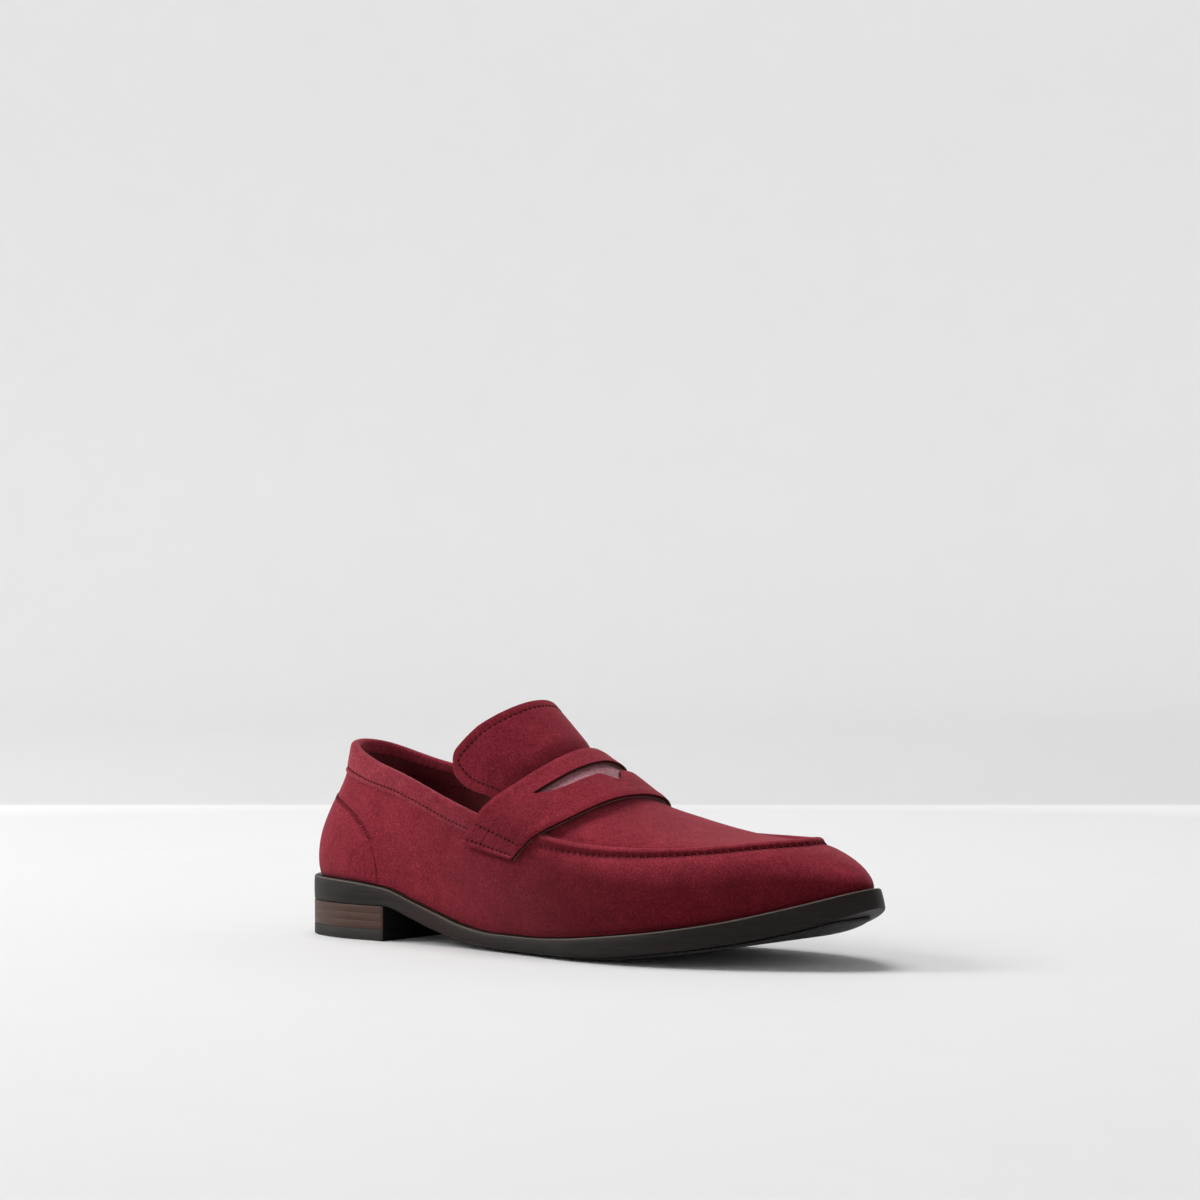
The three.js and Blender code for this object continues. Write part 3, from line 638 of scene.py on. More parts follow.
def leather_material(name, dark, light, roughness, grain=0.9, height=0.12):
    paint = Paint(name, roughness, Specular_IOR_Level=0.35)
    cells = paint.node("ShaderNodeTexVoronoi", feature="SMOOTH_F1", Scale=1 / (grain * MM))
    paint.link(paint.place, cells.inputs["Vector"])
    broad = paint.noise(9, 4)
    tone = paint.mix(broad, dark, light)
    creases = paint.ramp(cells.outputs["Distance"],
                         [(0.15, grey(1.12)), (0.6, (0.62, 0.58, 0.6, 1))])
    paint.color(paint.mix(0.8, tone, creases, "MULTIPLY"))
    paint.rough(broad, roughness - 0.08, roughness + 0.1)
    paint.bump(cells.outputs["Distance"], -height, 0.9)
    paint.bump(paint.noise(0.3, 3), 0.03, 0.5)
    return paint.material


WAIST = 92.0
DARKER_FROM, DARKER_OVER = 110.0, 150.0


def sole_edge_material():
    """Burnished sole edge: fine lines along it, a brown cast at the waist, darker forwards."""
    paint = Paint("burnished_sole_edge", 0.45, Specular_IOR_Level=0.18)
    lines = paint.noise(0.9, 5, 0.7, stretch=(0.035, 0.035, 1.0))
    cloud = paint.noise(14, 4, 0.6)
    tone = paint.ramp(lines, [(0.28, srgb(20, 17, 15)), (0.5, srgb(31, 27, 25)),
                              (0.72, srgb(46, 41, 37))])
    waist = paint.mix(0.5, tone, srgb(50, 33, 26))
    place = paint.node("ShaderNodeSeparateXYZ")
    paint.link(paint.place, place.inputs["Vector"])
    near = paint.math("SUBTRACT", place.outputs["X"], along_shoe(WAIST))
    near = paint.math("MULTIPLY", paint.math("ABSOLUTE", near), 18.0)
    amount = paint.ramp(near, [(0.15, grey(0.7)), (0.75, grey(0))])
    tone = paint.mix(amount, tone, waist)
    ahead = paint.math("SUBTRACT", place.outputs["X"], along_shoe(DARKER_FROM))
    ahead = paint.math("DIVIDE", ahead, DARKER_OVER * MM)
    ahead = paint.ramp(ahead, [(0.0, grey(0)), (1.0, grey(1))])
    forward = paint.mix(1.0, tone, (0.5, 0.36, 0.36, 1), "MULTIPLY")
    paint.color(paint.mix(ahead, tone, forward))
    paint.rough(cloud, 0.4, 0.6)
    paint.bump(lines, 0.06, 0.8)
    paint.bump(paint.noise(0.35, 3), 0.02, 0.5)
    return paint.material


def stacked_material():
    """Stacked leather lifts: brown layers a couple of millimetres high."""
    paint = Paint("stacked_leather_lifts", 0.5, Specular_IOR_Level=0.2)
    layers = paint.noise(1.7, 3, 0.6, stretch=(0.02, 0.02, 1.0))
    fibres = paint.noise(0.5, 4, 0.7, stretch=(0.12, 0.12, 1.0))
    tone = paint.ramp(layers, [(0.3, srgb(70, 47, 39)), (0.5, srgb(73, 50, 41)),
                               (0.7, srgb(77, 54, 45))])
    strands = paint.ramp(fibres, [(0.3, srgb(54, 37, 31)), (0.7, srgb(80, 58, 48))])
    paint.color(paint.mix(0.35, tone, strands))
    paint.rough(fibres, 0.34, 0.55)
    paint.bump(layers, 0.02, 0.4)
    paint.bump(fibres, 0.03, 0.5)
    return paint.material


def rubber_material(name, dark, light):
    paint = Paint(name, 0.62, Specular_IOR_Level=0.18)
    speck = paint.noise(0.8, 4, 0.7)
    lines = paint.noise(0.7, 3, 0.6, stretch=(0.03, 0.03, 1.0))
    paint.color(paint.mix(paint.mix(0.5, speck, lines), dark, light))
    paint.rough(speck, 0.52, 0.72)
    paint.bump(speck, 0.05, 0.6)
    paint.bump(lines, 0.05, 0.5)
    return paint.material


def thread_material(name, dark, light):
    paint = Paint(name, 0.8, Specular_IOR_Level=0.15)
    twist = paint.node("ShaderNodeTexWave", Scale=1 / (0.35 * MM), Distortion=0.6)
    twist.bands_direction = "DIAGONAL"
    paint.link(paint.place, twist.inputs["Vector"])
    paint.color(paint.mix(twist.outputs["Fac"], dark, light))
    paint.bump(twist.outputs["Fac"], 0.08, 0.8)
    return paint.material


def plain_material(name, dark, light, roughness, size, height, metallic=0.0, specular=0.5):
    paint = Paint(name, roughness, Metallic=metallic, Specular_IOR_Level=specular)
    grain = paint.noise(size, 5, 0.65)
    paint.color(paint.ramp(grain, [(0.32, dark), (0.68, light)]))
    paint.rough(grain, max(0.1, roughness - 0.1), min(1.0, roughness + 0.08))
    paint.bump(grain, height, 0.7)
    return paint.material


SUEDE_MAT = suede_material("suede_nap", srgb(112, 30, 42), srgb(122, 34, 46), srgb(134, 41, 53))
TRIM_MAT = suede_material("suede_trim", srgb(112, 33, 44), srgb(124, 38, 50), srgb(137, 46, 58), 0.5)
# Lighter suede for bevelled edges: a painted highlight where rounded edges catch the light.
HIGHLIGHT_RIM_MAT = suede_material("suede_painted_highlight_rim", srgb(146, 52, 64), srgb(158, 60, 72),
                         srgb(172, 70, 82), 0.45)
# Dark suede for cut walls: the cut edge's own colour, darkened further as painted shade.
CUT_EDGE_AND_SHADE_MAT = plain_material("suede_cut_edge_and_painted_shade", srgb(44, 7, 13), srgb(74, 15, 24), 0.95, 0.6, 0.1,
                         specular=0.1)
LINING_MAT = leather_material("lining_leather", srgb(84, 17, 24), srgb(108, 26, 34), 0.5)
SOCK_MAT = leather_material("sock_leather", srgb(70, 15, 22), srgb(92, 24, 31), 0.5)
PINK_MAT = leather_material("pink_pebbled_leather", srgb(150, 92, 102), srgb(188, 130, 138),
                            0.5, 1.5, 0.4)
BACKING_MAT = plain_material("strap_backing_fibre", srgb(70, 52, 44), srgb(112, 90, 78),
                             0.75, 0.6, 0.06)
EDGE_MAT = sole_edge_material()
STACK_MAT = stacked_material()
RUBBER_MAT = rubber_material("top_piece_rubber", srgb(34, 32, 31), srgb(58, 55, 53))
TREAD_MAT = rubber_material("tread_rubber", srgb(30, 30, 30), srgb(52, 51, 50))
# Near-black for the heel's breast: painted shade under the sole.
BREAST_SHADE_MAT = plain_material("breast_painted_shade", srgb(9, 8, 8), srgb(20, 18, 18), 0.8, 1.2, 0.05,
                            specular=0.05)
# A lighter strip under the sole's top edge: a painted highlight along the edge.
TOP_EDGE_HIGHLIGHT_MAT = plain_material("sole_top_edge_painted_highlight", srgb(76, 66, 58), srgb(104, 92, 82), 0.6, 0.8, 0.05,
                          specular=0.2)
THREAD_MAT = thread_material("burgundy_thread", srgb(44, 4, 10), srgb(72, 12, 22))
SEAM_THREAD_MAT = thread_material("seam_thread", srgb(98, 24, 36), srgb(140, 52, 64))
# The CAD nodes that stay, held inside the shoe: their names, material and its two tones.
HIDDEN = [
    (["insole_board"], "fibre_board_pulp", (140, 112, 84), (168, 142, 112), 0.85, 0.9, 0.06),
    (["cork_filler"], "cork_granules", (128, 88, 56), (196, 156, 112), 0.95, 2.2, 0.25),
    (["heel_pad", "collar_foam"], "foam_cells", (206, 196, 180), (228, 220, 208), 0.95, 0.8, 0.15),
    (["counter_stiffener", "toe_puff"], "stiffener_felt", (172, 164, 150), (198, 192, 180),
     0.85, 0.7, 0.08),
    (["shank"] + [f"heel_nail_{k}" for k in range(1, 6)], "spring_steel", (120, 122, 126),
     (168, 170, 174), 0.32, 1.4, 0.01, 1.0),
]
for nodes, title, dark, light, *finish in HIDDEN:
    hidden_material = plain_material(title, srgb(*dark), srgb(*light), *finish)
    for node_name in nodes:
        slots = frame["nodes"][node_name].data.materials
        slots.clear()
        slots.append(hidden_material)


def finish_piece(obj, slot, *nodes, body="shoe"):
    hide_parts(*nodes)
    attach(obj, body)
    return obj


# ---------------------------------------------------------------- sole and heel


def outline_body(name, ring, profile, heights, materials, lean=(0, 0), crease=None, cap_rows=10):
    """A closed body inside a ring of stations. profile holds (inset, level) rows from the top
    edge to the bottom one, with level 0 at heights[0] and 1 at heights[1]. lean slides the top
    and the bottom forwards where the sole rises, and crease is an x that gets a row of its own.
    The last material goes on the strip just under the top edge."""
    upper, lower = heights
    count = len(ring)
    rows = []
    for inset, level in profile:
        point = sole_edge(ring, inset)
        x = point[:, 0]
        if crease is not None:
            x = np.where(np.abs(x - crease) < 1.0, crease, x)
        slope = np.maximum(0, sole_top(x) - sole_top(x - 1))
        z = upper(x) * (1 - level) + lower(x) * level
        slide = lean[0] * (1 - level) + lean[1] * level
        rows.append(np.stack([x + slide * slope, point[:, 1], z], -1))
    rings = np.array(rows)
    points = [rings.transpose(1, 0, 2).reshape(-1, 3)]
    faces = grid_faces(count, len(profile), 0, closed=True)
    base = count * len(profile)
    half = count // 2
    for row, height in ((0, upper), (-1, lower)):
        edge = rings[row]
        pairs = [(k, (count - k) % count) for k in range(half + 1)]
        grid = []
        for k, m in pairs:
            f = np.linspace(0, 1, cap_rows)[:, None]
            line = edge[k] * (1 - f) + edge[m] * f
            inner = line.copy()
            slope = np.maximum(0, sole_top(line[:, 0]) - sole_top(line[:, 0] - 1))
            slide = lean[row] * slope
            inner[:, 2] = height(line[:, 0] - slide)
            inner[0], inner[-1] = edge[k], edge[m]
            grid.append(inner)
        points.append(np.array(grid).reshape(-1, 3))
        faces += grid_faces(len(pairs), cap_rows, base)
        base += len(pairs) * cap_rows
    points, faces, which = weld(np.concatenate(points), faces, 0.002)
    strips = len(profile) - 1
    # rim is the strip just under the top edge; on the outsole its material is a painted highlight.
    rim = (which < count * strips) & (which % strips == 1)
    return make_object(name, points, faces, materials, rim * (len(materials) - 1))


def clean(obj, near=0.006):
    """Joins corners within near millimetres and turns every face of the closed mesh outwards."""
    mesh = bmesh.new()
    mesh.from_mesh(obj.data)
    bmesh.ops.remove_doubles(mesh, verts=mesh.verts, dist=near * MM)
    bmesh.ops.dissolve_degenerate(mesh, edges=mesh.edges, dist=1e-8)
    bmesh.ops.recalc_face_normals(mesh, faces=mesh.faces)
    mesh.to_mesh(obj.data)
    mesh.free()
    return obj


EDGE_PROFILE = [(0.9, 0.0), (0.35, 0.012), (0.0, 0.06), (-0.12, 0.35), (-0.12, 0.62), (0.0, 0.92),
                (0.35, 0.985), (0.8, 1.0)]
SOLE_RING = np.arange(0, ROUND, ROUND / 420)


def make_outsole():
    # The strip under the sole's top edge takes a painted highlight.
    obj = outline_body("outsole_visible", SOLE_RING, EDGE_PROFILE, (sole_top, sole_under),
                       [EDGE_MAT, TOP_EDGE_HIGHLIGHT_MAT], (0, TOE_LEAN), BREAST)
    clean(obj)
    finish_piece(obj, "sole_edge", "outsole")


def make_tread():
    x = sole_edge(SOLE_RING, TREAD["inset"])[:, 0]
    ring = SOLE_RING[(x > TREAD["start"]) & (x < TREAD["end"])]
    outer = ring[ring < TOE]
    rows = np.linspace(0, 1, 15)[None, :, None]
    left, right = (sole_edge(u, TREAD["inset"])[:, None] for u in (outer, ROUND - outer))
    body = []
    for level in (0, 1):
        grid = left * (1 - rows) + right * rows
        x = grid[..., 0]
        slope = np.maximum(0, sole_top(x) - sole_top(x - 1))
        grid[..., 2] = sole_under(x) - GAP - TREAD["thick"] * level
        grid[..., 0] += TOE_LEAN * slope
        body.append(grid)
    points, faces, _ = closed_sheet(*body)
    obj = make_object("forefoot_tread_visible", points, faces, [TREAD_MAT])
    bevel(obj, 0.35, 2)
    finish_piece(obj, "rubber", "forefoot_tread")


def heel_outline(count=90):
    """The heel's plan: round the back along the sole's edge, then straight across the breast."""
    u = np.linspace(-3.2, 3.2, 1200)
    edge = sole_edge(u)
    behind = edge[edge[:, 0] < BREAST - 0.15][:, :2]
    behind = np.vstack([[BREAST, behind[0, 1]], behind, [BREAST, behind[-1, 1]]])
    run = np.concatenate([[0], np.cumsum(np.linalg.norm(np.diff(behind, axis=0), axis=1))])
    at = np.linspace(0, run[-1], count)
    return np.stack([np.interp(at, run, behind[:, k]) for k in (0, 1)], -1)


def heel_layer(name, bottom, top, material, slot, node, rounding=0.3, puff=0.0):
    """One flat layer of the heel, near-black on its breast as painted shade; its sides bulge by puff.
    """
    plan = heel_outline()
    towards = unit(plan - plan.mean(0))
    rows = [(rounding, top), (0.0, top - rounding), (-puff, (top + bottom) / 2),
            (0.0, bottom + rounding), (rounding, bottom)]
    grid = []
    for inset, z in rows:
        moved = plan - towards * inset
        moved[[0, -1], 0] = BREAST - max(0, inset) * 0.5
        grid.append(np.column_stack([moved, np.full(len(plan), z)]))
    grid = np.array(grid).transpose(1, 0, 2)
    points = grid.reshape(-1, 3)
    faces = grid_faces(len(plan), len(rows), 0, closed=True)
    for row in (0, len(rows) - 1):
        faces.append([k * len(rows) + row for k in range(len(plan))])
    obj = clean(make_object(name, points, faces, [material, BREAST_SHADE_MAT]))
    # Faces towards the front get the breast's painted shade.
    for polygon in obj.data.polygons:
        polygon.material_index = int(polygon.normal.x > 0.3)
    finish_piece(obj, slot, node)


def make_heel():
    heel_layer("top_piece_visible", 0, TOP_PIECE, RUBBER_MAT, "rubber", "top_piece", 0.4)
    pitch = (SOLE_UNDER[0][1] - TOP_PIECE) / LIFTS
    for k in range(LIFTS):
        bottom = TOP_PIECE + k * pitch + 0.01
        top = TOP_PIECE + (k + 1) * pitch - 0.01
        heel_layer(f"heel_lift_{k + 1}_visible", bottom, top, STACK_MAT, "stacked_leather",
                   f"heel_lift_{k + 1}", 0.04, 0.02)


make_outsole()
make_tread()
make_heel()

# ---------------------------------------------------------------- upper: wall, counter, linings

STITCH_PITCH = 3.2


def seam_run(u):
    """Length along the apron seam up to each station, in millimetres."""
    dense = np.linspace(5, 16, 1600)
    points = edge_curve(dense)
    run = np.concatenate([[0], np.cumsum(np.linalg.norm(np.diff(points, axis=0), axis=1))])
    return np.interp(u, dense, run)


def wall_relief(u, h):
    """Soft unevenness of the wall, with puckers under the apron seam and a tuck at the sole."""
    points = wall_point(u, h)
    relief = 0.28 * ripple(points, 42, 3) + 0.12 * ripple(points, 17, 5)
    forefoot = smooth(5.3, 5.9, u) * (1 - smooth(15.1, 15.7, u))
    pucker = np.cos(2 * math.pi * seam_run(u) / STITCH_PITCH)
    relief += forefoot * smooth(0.8, 0.985, h) * (0.12 * pucker - 0.15)
    relief -= 0.5 * (1 - smooth(0.0, 0.05, h))
    under_strap = 0.6 * np.exp(-((h - STRAP["end_height"] + 0.015) / 0.025) ** 2)
    for rear, front in ((STRAP["rear"], STRAP["front"]),
                        (ROUND - STRAP["front"], ROUND - STRAP["rear"])):
        inside = smooth(rear - 0.04, rear + 0.02, u) * (1 - smooth(front - 0.02, front + 0.04, u))
        relief -= under_strap * inside
    return relief * smooth(0, 0.02, h)


def make_skirt():
    u = np.arange(0, ROUND, ROUND / 924)
    h = edge_spaced(52, 0.5)
    a, b = np.meshgrid(u, h, indexing="ij")
    outer = wall_at(a, b, wall_relief(a, b))
    inner = wall_at(a, b, -SUEDE + 0 * a)
    points, faces, _ = closed_sheet(outer, inner, closed=True)
    obj = make_object("upper_wall", points, faces, [SUEDE_MAT])
    finish_piece(obj, "burgundy_suede", "upper_skirt")


def counter_surface(a, b, offset):
    side = np.sin((a - 0.5) * math.pi)
    power = COUNTER["power"]
    tall = COUNTER["top"] * np.maximum(0, 1 - np.abs(side) ** power) ** (1 / power)
    u = COUNTER["reach"] * side
    h = COUNTER["foot"] + tall * b
    return wall_at(u, h, offset + wall_relief(np.mod(u, ROUND), h))


def make_counter():
    columns = np.linspace(0.004, 0.996, 240)
    rows = np.linspace(0, 1, 26)
    a, b = np.meshgrid(columns, rows, indexing="ij")
    edge = np.minimum.reduce([1 - b, 40 * (1 - a), 40 * a])
    swell = 0.1 + 0.28 * smooth(0.0, 0.12, edge)
    outer = counter_surface(a, b, swell)
    inner = counter_surface(a, b, -0.25 + 0 * a)
    points, faces, _ = closed_sheet(outer, inner)
    obj = make_object("heel_counter", points, faces, [SUEDE_MAT])
    finish_piece(obj, "burgundy_suede", "heel_counter_cover")


QUARTER_REACH = 17 / 3
# The lining of the forefoot goes up one wall, over the roof and down the other wall.
VAMP_LOW, VAMP_HIGH = 0.14, 0.93
SOCK = dict(board=2.1, cork=2.2, pad=3, thick=1.2)


def make_linings():
    def quarter(a, b, offset):
        return wall_at(QUARTER_REACH * (2 * a - 1), 0.12 + 0.86 * b, offset)

    obj = sheet_piece("quarter_lining_visible", quarter, (2.5, 3.3), np.linspace(0, 1, 200),
                      np.linspace(0, 1, 24), [LINING_MAT])
    finish_piece(obj, "burgundy_lining", "quarter_lining")

    def vamp(a, b, offset):
        s = 0.16 + 0.805 * a
        u = APRON["start"] + (TOE - APRON["start"]) * s
        part = 3 * b
        tall = VAMP_HIGH - VAMP_LOW
        outer = wall_at(u, VAMP_LOW + tall * np.clip(part, 0, 1), offset)
        inner = wall_at(ROUND - u, VAMP_LOW + tall * np.clip(3 - part, 0, 1), offset)
        over = roof_at(s, 0.9 * (2 * part - 3), offset)
        return np.where((part < 1)[..., None], outer, np.where((part > 2)[..., None], inner, over))

    obj = sheet_piece("vamp_lining_visible", vamp, (2.8, 3.6), np.linspace(0, 1, 70),
                      np.linspace(0, 1, 46), [LINING_MAT])
    finish_piece(obj, "burgundy_lining", "vamp_lining")

    def under_sock(x):
        pad = SOCK["pad"] * (1 - smooth(57, 76, x))
        return sole_top(x) + SOCK["board"] + SOCK["cork"] + 3 * GAP + pad

    def over_sock(x):
        return under_sock(x) + SOCK["thick"]

    obj = outline_body("sock_liner_visible", np.arange(0, ROUND, ROUND / 300),
                       [(7.1, 0), (6.75, 0.3), (6.7, 0.7), (6.9, 1)], (over_sock, under_sock),
                       [SOCK_MAT])
    clean(obj)
    finish_piece(obj, "burgundy_lining", "sock_liner")


def roof_point(s, t):
    """The top of the forefoot between the two apron seams, as the CAD part has it."""
    s, t = np.broadcast_arrays(np.asarray(s, float), np.asarray(t, float))
    outer = edge_curve(APRON["start"] + (TOE - APRON["start"]) * s)
    inner = edge_curve(ROUND - APRON["start"] - (TOE - APRON["start"]) * s)
    bow = APRON["bow"] * (1 - smooth(0, 1, s / APRON["straight"]))
    share = ((t + 1) / 2)[..., None]
    point = outer * (1 - share) + inner * share
    crest = ridge((outer[..., 0] + inner[..., 0]) / 2 + bow) - (outer[..., 2] + inner[..., 2]) / 2
    point[..., 0] += bow * (1 - t * t)
    point[..., 2] += crest * (1 - np.abs(t) ** 2.4)
    return point


def roof_at(s, t, offset=0.0):
    offset = np.asarray(offset, float)
    return roof_point(s, t) + normal_of(roof_point, s, t) * offset[..., None]


make_skirt()
make_counter()
make_linings()

# ---------------------------------------------------------------- apron and its raised seam

FAN_START = 0.72
# The apron's rolled edge, from inside to outside: distance out from the seam, height above it.
ROLL = [(-9, 0.3), (-7.2, 0.3), (-5.8, 0.1), (-4.9, -0.2), (-4.1, -0.35), (-3.4, -0.15),
        (-2.9, 0.55), (-2.4, 1.3), (-1.7, 2.0), (-0.9, 2.4), (0.0, 2.5), (0.8, 2.25), (1.5, 1.6),
        (1.9, 0.8), (1.85, 0.2), (1.5, -0.2), (1.0, -0.35)]
PUCKER = 0.32


def apron_base(u, t):
    """A point of the apron for a seam station u, with t from 1 at the seam to 0 at the middle."""
    side = np.where(u < TOE, u, ROUND - u)
    s = np.clip((side - APRON["start"]) / (TOE - APRON["start"]), 0, FAN_START)
    outer = edge_curve(APRON["start"] + (TOE - APRON["start"]) * s)
    inner = edge_curve(ROUND - APRON["start"] - (TOE - APRON["start"]) * s)
    middle = (outer + inner) / 2
    bow = APRON["bow"] * (1 - smooth(0, 1, s / APRON["straight"]))
    crest = ridge(middle[..., 0] + bow) - middle[..., 2]
    edge = edge_curve(u)
    share = t[..., None]
    point = edge * share + middle * (1 - share)
    point[..., 0] += bow * (1 - t * t)
    point[..., 2] += crest * (1 - t**2.4)
    return point


def make_apron():
    """The apron as one sheet: rows from its middle to the seam, then over the rolled edge. Both
    halves meet on the middle line, and a pucker for each stitch marks the roll's outer side."""
    u = np.linspace(BEAD_FROM, ROUND - BEAD_FROM, 1200)
    edge = edge_curve(u)
    wall_normal = normal_of(wall_point, u, np.full_like(u, 0.995))
    out = unit(wall_point(u, 0.97) - wall_point(u, 0.995))
    half = np.linalg.norm(apron_base(u, np.zeros_like(u)) - edge, axis=-1)
    pucker = 0.5 + 0.5 * np.cos(2 * math.pi * seam_run(u) / STITCH_PITCH)
    from_end = np.minimum(u, ROUND - u)
    end_fade = smooth(BEAD_FROM, BEAD_FROM + 0.25, from_end)
    rows = []
    start = 1 + ROLL[0][0] / half
    for share in np.linspace(0, 1, 18)[:-1]:
        t = start * share
        point = apron_base(u, t)
        lift = ROLL[0][1] * smooth(0.35, 1.0, share)
        rows.append((point, lift, 0.0))
    for d, lift in ROLL:
        if d < 0:
            point = apron_base(u, 1 + d / half)
        else:
            point = edge + out * d
        wrinkle = smooth(-1.5, 1.6, d) * (1 - smooth(1.9, 2.6, lift + 1.2)) if d > 0 else 0.0
        rows.append((point, lift * (0.72 + 0.28 * end_fade), wrinkle))
    grid = []
    up_blend = np.linspace(0, 1, 17).tolist() + [1.0] * len(ROLL)
    for (point, lift, wrinkle), blend in zip(rows, up_blend):
        across = unit(UP * (1 - 0.6 * blend) + wall_normal * 0.6 * blend)
        relief = 0.16 * ripple(point, 38, 11) + 0.07 * ripple(point, 15, 12)
        raised = point + across * (lift + relief * (1 - 0.5 * blend))[:, None]
        grid.append(raised - out * (wrinkle * pucker * PUCKER)[:, None])
    top = np.array(grid).transpose(1, 0, 2)
    under = top - UP * SUEDE
    fade = np.linspace(0, 1, top.shape[1])
    under += out[:, None, :] * (-1.1 * smooth(0.62, 0.95, fade))[None, :, None]
    points, faces, _ = closed_sheet(top, under, joined_start=True)
    obj = make_object("apron_with_rolled_seam", points, faces, [SUEDE_MAT])
    clean(obj, 0.02)
    finish_piece(obj, "burgundy_suede", "apron", "moc_seam_bead")


make_apron()


def make_seam_stitches():
    """Whip stitches that tie the rolled edge down to the wall, one for each pucker."""
    u = np.linspace(BEAD_FROM + 0.05, ROUND - BEAD_FROM - 0.05, 3000)
    run = seam_run(u)
    segments = []
    for k in range(int(run[0] / STITCH_PITCH) + 1, int(run[-1] / STITCH_PITCH)):
        at, skew = (np.interp([(k + f) * STITCH_PITCH], run, u) for f in (0.5, 0.72))
        n = normal_of(wall_point, at, np.array([0.97]))[0]
        out = unit(wall_point(at, 0.95) - wall_point(at, 0.99))[0]
        start = edge_curve(at)[0] + out * 1.75 + n * 0.75
        end = edge_curve(skew)[0] + out * 2.75 + n * 0.0
        segments.append((start, end, unit(n + out)))
    obj = capsules("apron_seam_stitches", segments, 0.2, SEAM_THREAD_MAT)
    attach(obj, "shoe")


make_seam_stitches()

# ---------------------------------------------------------------- collar


COLLAR_INSIDE = 3.6


def make_collar():
    """The collar band: up the outside, over the topline and a little way down the inside. A
    narrow raised strip between two grooves runs along its lower outer edge, and its ends thin
    out under the strap."""
    deep, end = COLLAR["deep"], COLLAR["end"] + 0.4
    u = np.linspace(-end, end, 660)
    thin = 1.3 * smooth(end - 0.45, end - 0.1, np.abs(u))
    out, inner = COLLAR["outside"] - 0.2, -3.5
    middle, radius = (out + inner) / 2, (out - inner) / 2
    fine, coarse = np.linspace(deep, deep - 3.4, 26), np.linspace(deep - 3.8, 0, 16)
    rows = []
    for depth in np.concatenate([fine, coarse]):
        strip = deep - depth
        relief = -0.3 * math.exp(-(strip / 0.3) ** 2)
        relief += 0.25 * math.exp(-((strip - 1.0) / 0.6) ** 2)
        relief -= 0.6 * math.exp(-((strip - 2.2) / 0.42) ** 2)
        relief += 0.3 * math.sin(math.pi * min(1, max(0, (strip - 2.3) / (deep - 2.3)))) ** 0.6
        rows.append((depth, out + relief))
    for k in range(1, 14):
        turn = math.pi * k / 14
        rows.append((-0.75 * radius * math.sin(turn), middle + radius * math.cos(turn)))
    for depth in np.linspace(0, COLLAR_INSIDE, 7):
        rows.append((depth, inner - 0.15 * math.sin(math.pi * depth / COLLAR_INSIDE)))
    grids = [[], []]
    for depth, offset in rows:
        thinned = thin * (offset > middle)
        points = collar_point(u, np.full_like(u, depth), offset + 0 * u)
        relief = 0.14 * ripple(points, 30, 21) - thinned
        grids[0].append(collar_point(u, np.full_like(u, depth), offset + relief))
        if depth > 0:
            under, below = depth, offset - 0.7 if offset > middle else offset + 0.5
        else:
            under, below = depth * 0.6, middle + (offset - middle) * 0.7
        grids[1].append(collar_point(u, np.full_like(u, under), below - thinned))
    face, back = (np.array(g).transpose(1, 0, 2) for g in grids)
    points, faces, kinds = closed_sheet(face, back)
    # The collar's cut edges take the dark cut-edge colour, partly painted shade.
    obj = clean(make_object("collar_band_visible", points, faces, [TRIM_MAT, CUT_EDGE_AND_SHADE_MAT], kinds == 2))
    finish_piece(obj, "burgundy_suede_trim", "collar_band")


make_collar()

# ---------------------------------------------------------------- strap


STRAP_ROWS = (0.865, 0.965)


def strap_relief(t, w):
    """Grooves under the stitches, a puff between the two rows, and raised ends and edges."""
    points = strap_point(t, w)
    relief = 0.1 * ripple(points, 26, 31)
    for row in STRAP_ROWS:
        relief -= 0.22 * np.exp(-((np.abs(t) - row) / 0.011) ** 2)
    relief += 0.25 * np.exp(-((np.abs(t) - sum(STRAP_ROWS) / 2) / 0.03) ** 2)
    relief += 0.35 * np.exp(-((np.abs(t) - 0.988) / 0.012) ** 2)
    for rim in (0.07, 0.93):
        relief += 0.25 * np.exp(-((w - rim) / 0.06) ** 2)
    return relief


def strap_body(name, depths, materials, slot, node, inset, bevel_width, relief=True):
    """The strap or its backing: a band with the penny slot cut through it."""
    t = np.concatenate([np.linspace(-1, -0.8, 60)[:-1], np.linspace(-0.8, 0.8, 321),
                        np.linspace(0.8, 1, 60)[1:]])
    half = SLOT["half"]
    for target in (SLOT["middle"] - half, SLOT["middle"] + half, SLOT["middle"]):
        t[np.argmin(np.abs(t - target))] = target
    rows_rear, rows_front = np.linspace(0, 1, 15), np.linspace(0, 1, 22)
    rear = slot_edge(t, False) - inset
    front = slot_edge(t, True) + inset
    w = np.concatenate([inset + (rear - inset)[:, None] * rows_rear[None],
                        front[:, None] + (1 - inset - front)[:, None] * rows_front[None]], 1)
    tt = np.repeat(t[:, None], w.shape[1], 1)
    extra = strap_relief(tt, w) if relief else 0
    outer = strap_at(tt, w, -depths[0] + extra)
    inner = strap_at(tt, w, -depths[1] + 0 * tt)
    keep = np.ones((len(t) - 1, w.shape[1] - 1), bool)
    centre = (t[1:] + t[:-1]) / 2
    keep[np.abs(centre - SLOT["middle"]) < half, len(rows_rear) - 1] = False
    points, faces, kinds = closed_sheet(outer, inner, keep=keep)
    # Cut walls take the second material; on the strap that is the dark cut-edge colour, partly
    # painted shade.
    obj = make_object(name, points, faces, materials, (kinds == 2) * min(1, len(materials) - 1))
    # Bevelled edges take the last material; on the strap that is a painted highlight.
    bevel(obj, bevel_width, 3, material=len(materials) - 1)
    finish_piece(obj, slot, node)


